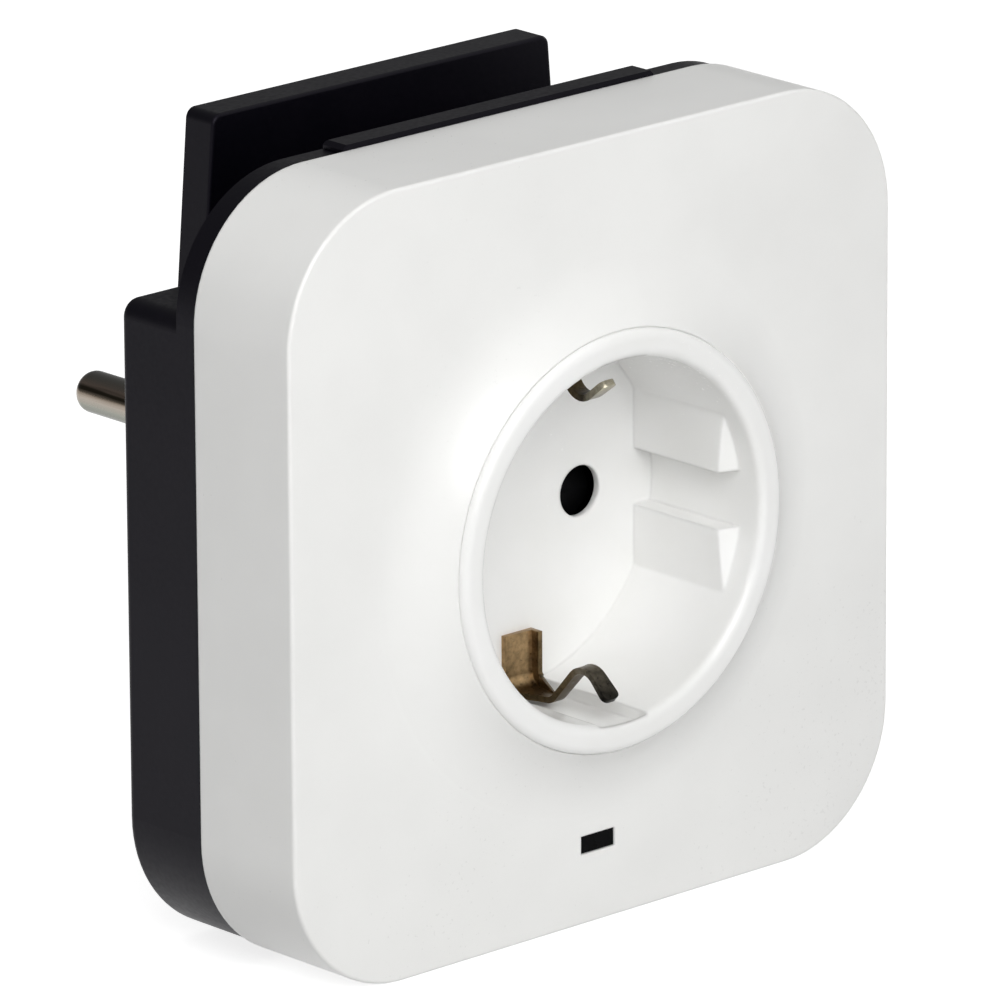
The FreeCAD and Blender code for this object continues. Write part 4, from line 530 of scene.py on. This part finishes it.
def earth_clip(name):
    """The lower clip, bent from a flat section."""
    bpy.ops.object.select_all(action="DESELECT")
    bpy.ops.mesh.primitive_plane_add(size=2.0)
    clip = bpy.context.active_object
    clip.name = name
    bpy.ops.object.mode_set(mode="EDIT")
    bpy.ops.mesh.select_mode(type="VERT")
    bpy.ops.transform.resize(value=(FOOT_HALF, STRIP / 2, 1))
    bpy.ops.transform.translate(value=(0, FLOOR_Y - STRIP / 2, SOCKET_AXIS_Z + FOOT_TOP))
    bpy.ops.mesh.select_all(action="SELECT")
    bpy.ops.mesh.bisect(plane_co=(FOOT_HALF - FOLD_WIDTH, 0, 0), plane_no=(1, 0, 0))
    choose(clip, lambda place: place.x > FOOT_HALF - 1.01 * FOLD_WIDTH and place.y < FLOOR_Y - STRIP / 2)
    push((0, -FOLD_HEIGHT, 0))
    bpy.ops.mesh.select_all(action="SELECT")
    foot_end = SOCKET_AXIS_Z + SEAT + STRIP + BEND_RADIUS
    push((0, 0, foot_end - SOCKET_AXIS_Z - FOOT_TOP))
    bend_middle = (0, FLOOR_Y - STRIP - BEND_RADIUS, foot_end)
    bpy.ops.mesh.spin(steps=6, angle=math.pi / 2, center=bend_middle, axis=(1, 0, 0))
    narrow(clip, SEAT_SHARE)
    push((0, -SEAT_RUN, 0))
    narrow(clip, ARM_SHARE)
    bend_start = chosen_middle(clip).y
    strip_top = SOCKET_AXIS_Z + SEAT + STRIP
    choose(clip, lambda place: place.y < bend_start + SLACK and place.z > strip_top + FOLD_HEIGHT / 2)
    bpy.ops.transform.translate(value=(0, 0, 0.05 * MM - FOLD_HEIGHT))
    choose(clip, lambda place: place.y < bend_start + SLACK)
    bpy.ops.mesh.spin(steps=4, angle=RISE_ANGLE, center=(0, bend_start, foot_end), axis=(1, 0, 0))
    rise = Vector((0, -math.cos(RISE_ANGLE), math.sin(RISE_ANGLE)))
    push(rise * ARM_RUN)
    narrow(clip, HUMP_SHARE)
    section = chosen_middle(clip)
    below = Vector((0, -math.sin(RISE_ANGLE), -math.cos(RISE_ANGLE)))
    hump = section + below * (HUMP_RADIUS + STRIP / 2)
    bpy.ops.mesh.spin(steps=7, angle=-HUMP_ANGLE, center=tuple(hump), axis=(1, 0, 0))
    fall_angle = HUMP_ANGLE - RISE_ANGLE
    push(Vector((0, -math.cos(fall_angle), -math.sin(fall_angle))) * TIP_RUN)
    narrow(clip, TIP_SHARE)
    clip.update_from_editmode()
    tip = min(corner.co.y for corner in clip.data.vertices)
    wide = max(corner.co.x for corner in clip.data.vertices if corner.select)
    choose(clip, lambda place: place.y < tip + TIP_DEPTH and abs(place.x) < 0.98 * wide)
    bpy.ops.transform.resize(value=(0, 1, 1), center_override=(0, tip, SOCKET_AXIS_Z))
    bpy.ops.mesh.select_mode(type="EDGE")
    choose(clip, lambda place: place.y < tip + TIP_DEPTH and abs(place.x) > 0.98 * wide)
    bpy.ops.mesh.bevel(offset=TIP_RADIUS, segments=5, affect="EDGES")
    bpy.ops.object.mode_set(mode="OBJECT")
    return clip


low_clip = earth_clip("earth_clip_low")
print("bent", low_clip.name, "with", len(low_clip.data.polygons), "faces")

# %% [markdown]
# ## The upper clip, and the finish of both
#
# The upper clip is the same strip on the other side of the recess. It gets its own mesh, turned
# by half a turn about the socket's axis, and its free part is bent 5 degrees further in. Then a
# narrow bevel rounds the rolled edges of both, and each takes the place of its CAD clip.

# %% Finish both clips
EDGE_RADIUS = 0.16 * MM
FREE_PART_Y = -46.5 * MM
FREE_PART_TURN = math.radians(-5)


def finish_clip(clip, node, bronze):
    """Round the clip's edges, give it its finish and put it in the place of the CAD clip."""
    soften_edges(clip, "rolled_edges", EDGE_RADIUS, 3, 0.04 * MM)
    clip.data.materials.append(bronze)
    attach(clip, "module")
    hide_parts(node)
    spans = [round(value / MM, 1) for corner in (clip.bound_box[0], clip.bound_box[6]) for value in corner]
    stands = [round(value / MM, 1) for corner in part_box(node) for value in corner]
    print(clip.name, "spans", spans, "and stands for", node, stands)


high_clip = bpy.data.objects.new("earth_clip_high", low_clip.data.copy())
scene.collection.objects.link(high_clip)
bpy.ops.object.select_all(action="DESELECT")
bpy.context.view_layer.objects.active = high_clip
high_clip.select_set(True)
bpy.ops.object.mode_set(mode="EDIT")
bpy.ops.mesh.select_all(action="SELECT")
bpy.ops.transform.rotate(value=math.pi, orient_axis="Y", center_override=(0, 0, SOCKET_AXIS_Z))
free_part_foot = (0, FREE_PART_Y, SOCKET_AXIS_Z - SEAT - STRIP / 2)
choose(high_clip, lambda place: place.y < FREE_PART_Y)
bpy.ops.transform.rotate(value=FREE_PART_TURN, orient_axis="X", center_override=free_part_foot)
bpy.ops.object.mode_set(mode="OBJECT")
finish_clip(low_clip, "earth_clip_bottom", clip_bronze)
# The upper clip takes the copy of the bronze with painted light and painted shade.
finish_clip(high_clip, "earth_clip_top", high_bronze_painted_light_and_shade)

# %% [markdown]
# ## Gold contacts in the charging ports
#
# Each charging port has four flat contacts, let into the grooves of its plastic tongue. They are
# stamped from bronze and flashed with gold, and their upper ends are bent back into the tongue,
# so that a plug doesn't catch on them. One strip is drawn, its upper end is rounded off, and it is
# copied into the eight grooves.

# %% One gold contact
PORT_MIDDLES = (-11.0 * MM, 11.0 * MM)
GROOVE_PLACES = (-3.45 * MM, -1.15 * MM, 1.15 * MM, 3.45 * MM)
GROOVE_FLOOR_Y, GROOVE_FOOT, GROOVE_HEAD = -32.24 * MM, 17.8 * MM, 25.0 * MM
CONTACT_HALF, CONTACT_THICKNESS = 0.42 * MM, 0.26 * MM
END_GAP, FLOOR_GAP, HEAD_RADIUS, STAMPED_RADIUS = 0.1 * MM, 0.01 * MM, 0.22 * MM, 0.04 * MM

bpy.ops.object.select_all(action="DESELECT")
bpy.ops.mesh.primitive_plane_add(size=2.0)
strip = bpy.context.active_object
strip.name = "port_contact_1"
bpy.ops.object.mode_set(mode="EDIT")
bpy.ops.transform.rotate(value=math.pi / 2, orient_axis="X", center_override=(0, 0, 0))
tall = (GROOVE_HEAD - GROOVE_FOOT) / 2 - END_GAP
bpy.ops.transform.resize(value=(CONTACT_HALF, 1, tall))
bpy.ops.transform.translate(value=(0, GROOVE_FLOOR_Y - FLOOR_GAP, (GROOVE_FOOT + GROOVE_HEAD) / 2))
push((0, -CONTACT_THICKNESS, 0))
bpy.ops.mesh.select_mode(type="EDGE")
front_half = GROOVE_FLOOR_Y - CONTACT_THICKNESS / 2
choose(strip, lambda place: place.y < front_half and place.z > GROOVE_HEAD - 0.5 * MM)
bpy.ops.mesh.bevel(offset=HEAD_RADIUS, segments=3, affect="EDGES")
bpy.ops.object.mode_set(mode="OBJECT")
soften_edges(strip, "stamped_edges", STAMPED_RADIUS, 2, 0.01 * MM)
strip.data.materials.append(gold_flash)
print("made", strip.name, "with", len(strip.data.polygons), "faces")

# %% Copy the contact into its eight grooves
places = [middle + groove for middle in PORT_MIDDLES for groove in GROOVE_PLACES]
for number, across in enumerate(places, 1):
    if number == 1:
        contact = strip
    else:
        contact = bpy.data.objects.new(f"port_contact_{number}", strip.data.copy())
        scene.collection.objects.link(contact)
    shift = across if number == 1 else across - places[0]
    for corner in contact.data.vertices:
        corner.co.x += shift
    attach(contact, "module")
print("placed", len(places), "contacts")

# %% [markdown]
# ## Floor
#
# The module stands on plain pale paper. For the camera and for reflections the paper gives off
# a little light of its own, so that it comes out white, and its lit part keeps the shadow. The
# paper itself is light grey, because white paper would throw too much light up onto the object.

# %% Floor
FLOOR_SIDE = 6.0
PAPER_GLOW = 0.8

bpy.ops.mesh.primitive_plane_add(size=FLOOR_SIDE, location=(0, 0, cad_low.z))
floor = bpy.context.active_object
floor.name = "studio_floor"
floor_material = bpy.data.materials.new("white_paper_floor")
floor_material.use_nodes = True
tree = floor_material.node_tree
tree.nodes.clear()
paper = add_node(tree, "ShaderNodeBsdfDiffuse", {"Color": linear("d0d0d0")})
path = add_node(tree, "ShaderNodeLightPath")
seen = add_node(tree, "ShaderNodeMath", {0: path.outputs["Is Camera Ray"], 1: path.outputs["Is Glossy Ray"]},
                operation="MAXIMUM")
seen = add_node(tree, "ShaderNodeMath", {0: seen.outputs[0], 1: path.outputs["Is Transmission Ray"]},
                operation="MAXIMUM")
lift = add_node(tree, "ShaderNodeMath", {0: seen.outputs[0], 1: PAPER_GLOW}, operation="MULTIPLY")
glow = add_node(tree, "ShaderNodeEmission", {"Strength": lift.outputs[0]})
both = add_node(tree, "ShaderNodeAddShader", {0: paper.outputs[0], 1: glow.outputs[0]})
add_node(tree, "ShaderNodeOutputMaterial", {"Surface": both.outputs[0]})
floor.data.materials.append(floor_material)
print("floor", FLOOR_SIDE, "m wide at a height of", round(cad_low.z, 4))

# %% [markdown]
# ## Light
#
# An even pale surrounding fills the shadows. A camera sees it white, and so does a reflection
# that looks forwards, while one that looks to the back sees it dim. That keeps the black top faces
# black, as a studio does with a dark cloth behind the object. The key lamp stands in front, to
# the left and above. The near lamp stands close on the same side, so its light falls off across
# the cover, from the bright upper left to the darker lower right, and it puts the shine on the
# collar. The front lamp lights the recess. The top lamp lights the band that looks up, and is
# kept out of reflections, so that the black top faces don't turn grey.

# %% World and lamps
FILL_STRENGTH, WHITE_STRENGTH, DIM_BEHIND = 0.27, 1.0, 0.06
AIM_DEPTH = 20 * MM

world = bpy.data.worlds.new("studio_world")
scene.world = world
world.use_nodes = True
tree = world.node_tree
tree.nodes.clear()
fill = add_node(tree, "ShaderNodeBackground", {"Color": linear("ffffff"), "Strength": FILL_STRENGTH})
white = add_node(tree, "ShaderNodeBackground", {"Color": linear("ffffff"), "Strength": WHITE_STRENGTH})
path = add_node(tree, "ShaderNodeLightPath")
direction = add_node(tree, "ShaderNodeTexCoord")
split = add_node(tree, "ShaderNodeSeparateXYZ", {"Vector": direction.outputs["Generated"]})
behind = add_node(tree, "ShaderNodeMapRange", {"Value": split.outputs["Y"], "From Min": 0.0, "From Max": 0.6,
                                               "To Min": 1.0, "To Max": DIM_BEHIND})
mirrored = add_node(tree, "ShaderNodeMath", {0: path.outputs["Is Glossy Ray"], 1: behind.outputs["Result"]},
                    operation="MULTIPLY")
seen = add_node(tree, "ShaderNodeMath", {0: path.outputs["Is Camera Ray"],
                                         1: path.outputs["Is Transmission Ray"]}, operation="MAXIMUM")
seen = add_node(tree, "ShaderNodeMath", {0: seen.outputs[0], 1: mirrored.outputs[0]}, operation="MAXIMUM")
both = add_node(tree, "ShaderNodeMixShader", {0: seen.outputs[0], 1: fill.outputs[0], 2: white.outputs[0]})
add_node(tree, "ShaderNodeOutputWorld", {"Surface": both.outputs[0]})


def soft_lamp(name, towards, distance, side, power):
    """A square soft lamp in the given direction from the object, aimed at it."""
    data = bpy.data.lights.new(name, "AREA")
    data.size = side
    data.energy = power
    lamp = bpy.data.objects.new(name, data)
    scene.collection.objects.link(lamp)
    aim = face_middle + Vector((0, AIM_DEPTH, 0))
    direction = Vector(towards).normalized()
    lamp.location = aim + direction * distance
    lamp.rotation_euler = direction.to_track_quat("Z", "Y").to_euler()
    print(name, "at", [round(value, 3) for value in lamp.location], power, "W")
    return lamp


soft_lamp("key_lamp", (-0.33, -0.79, 0.52), 1.2, 0.7, 3.6)
soft_lamp("near_lamp", (-0.50, -0.68, 0.60), 0.45, 0.3, 0.81)
soft_lamp("front_lamp", (0.0, -1.0, 0.25), 1.2, 0.7, 0.95)
top_lamp = soft_lamp("top_lamp", (0.05, 0.15, 1.0), 1.2, 0.7, 2.2)
top_lamp.visible_glossy = False
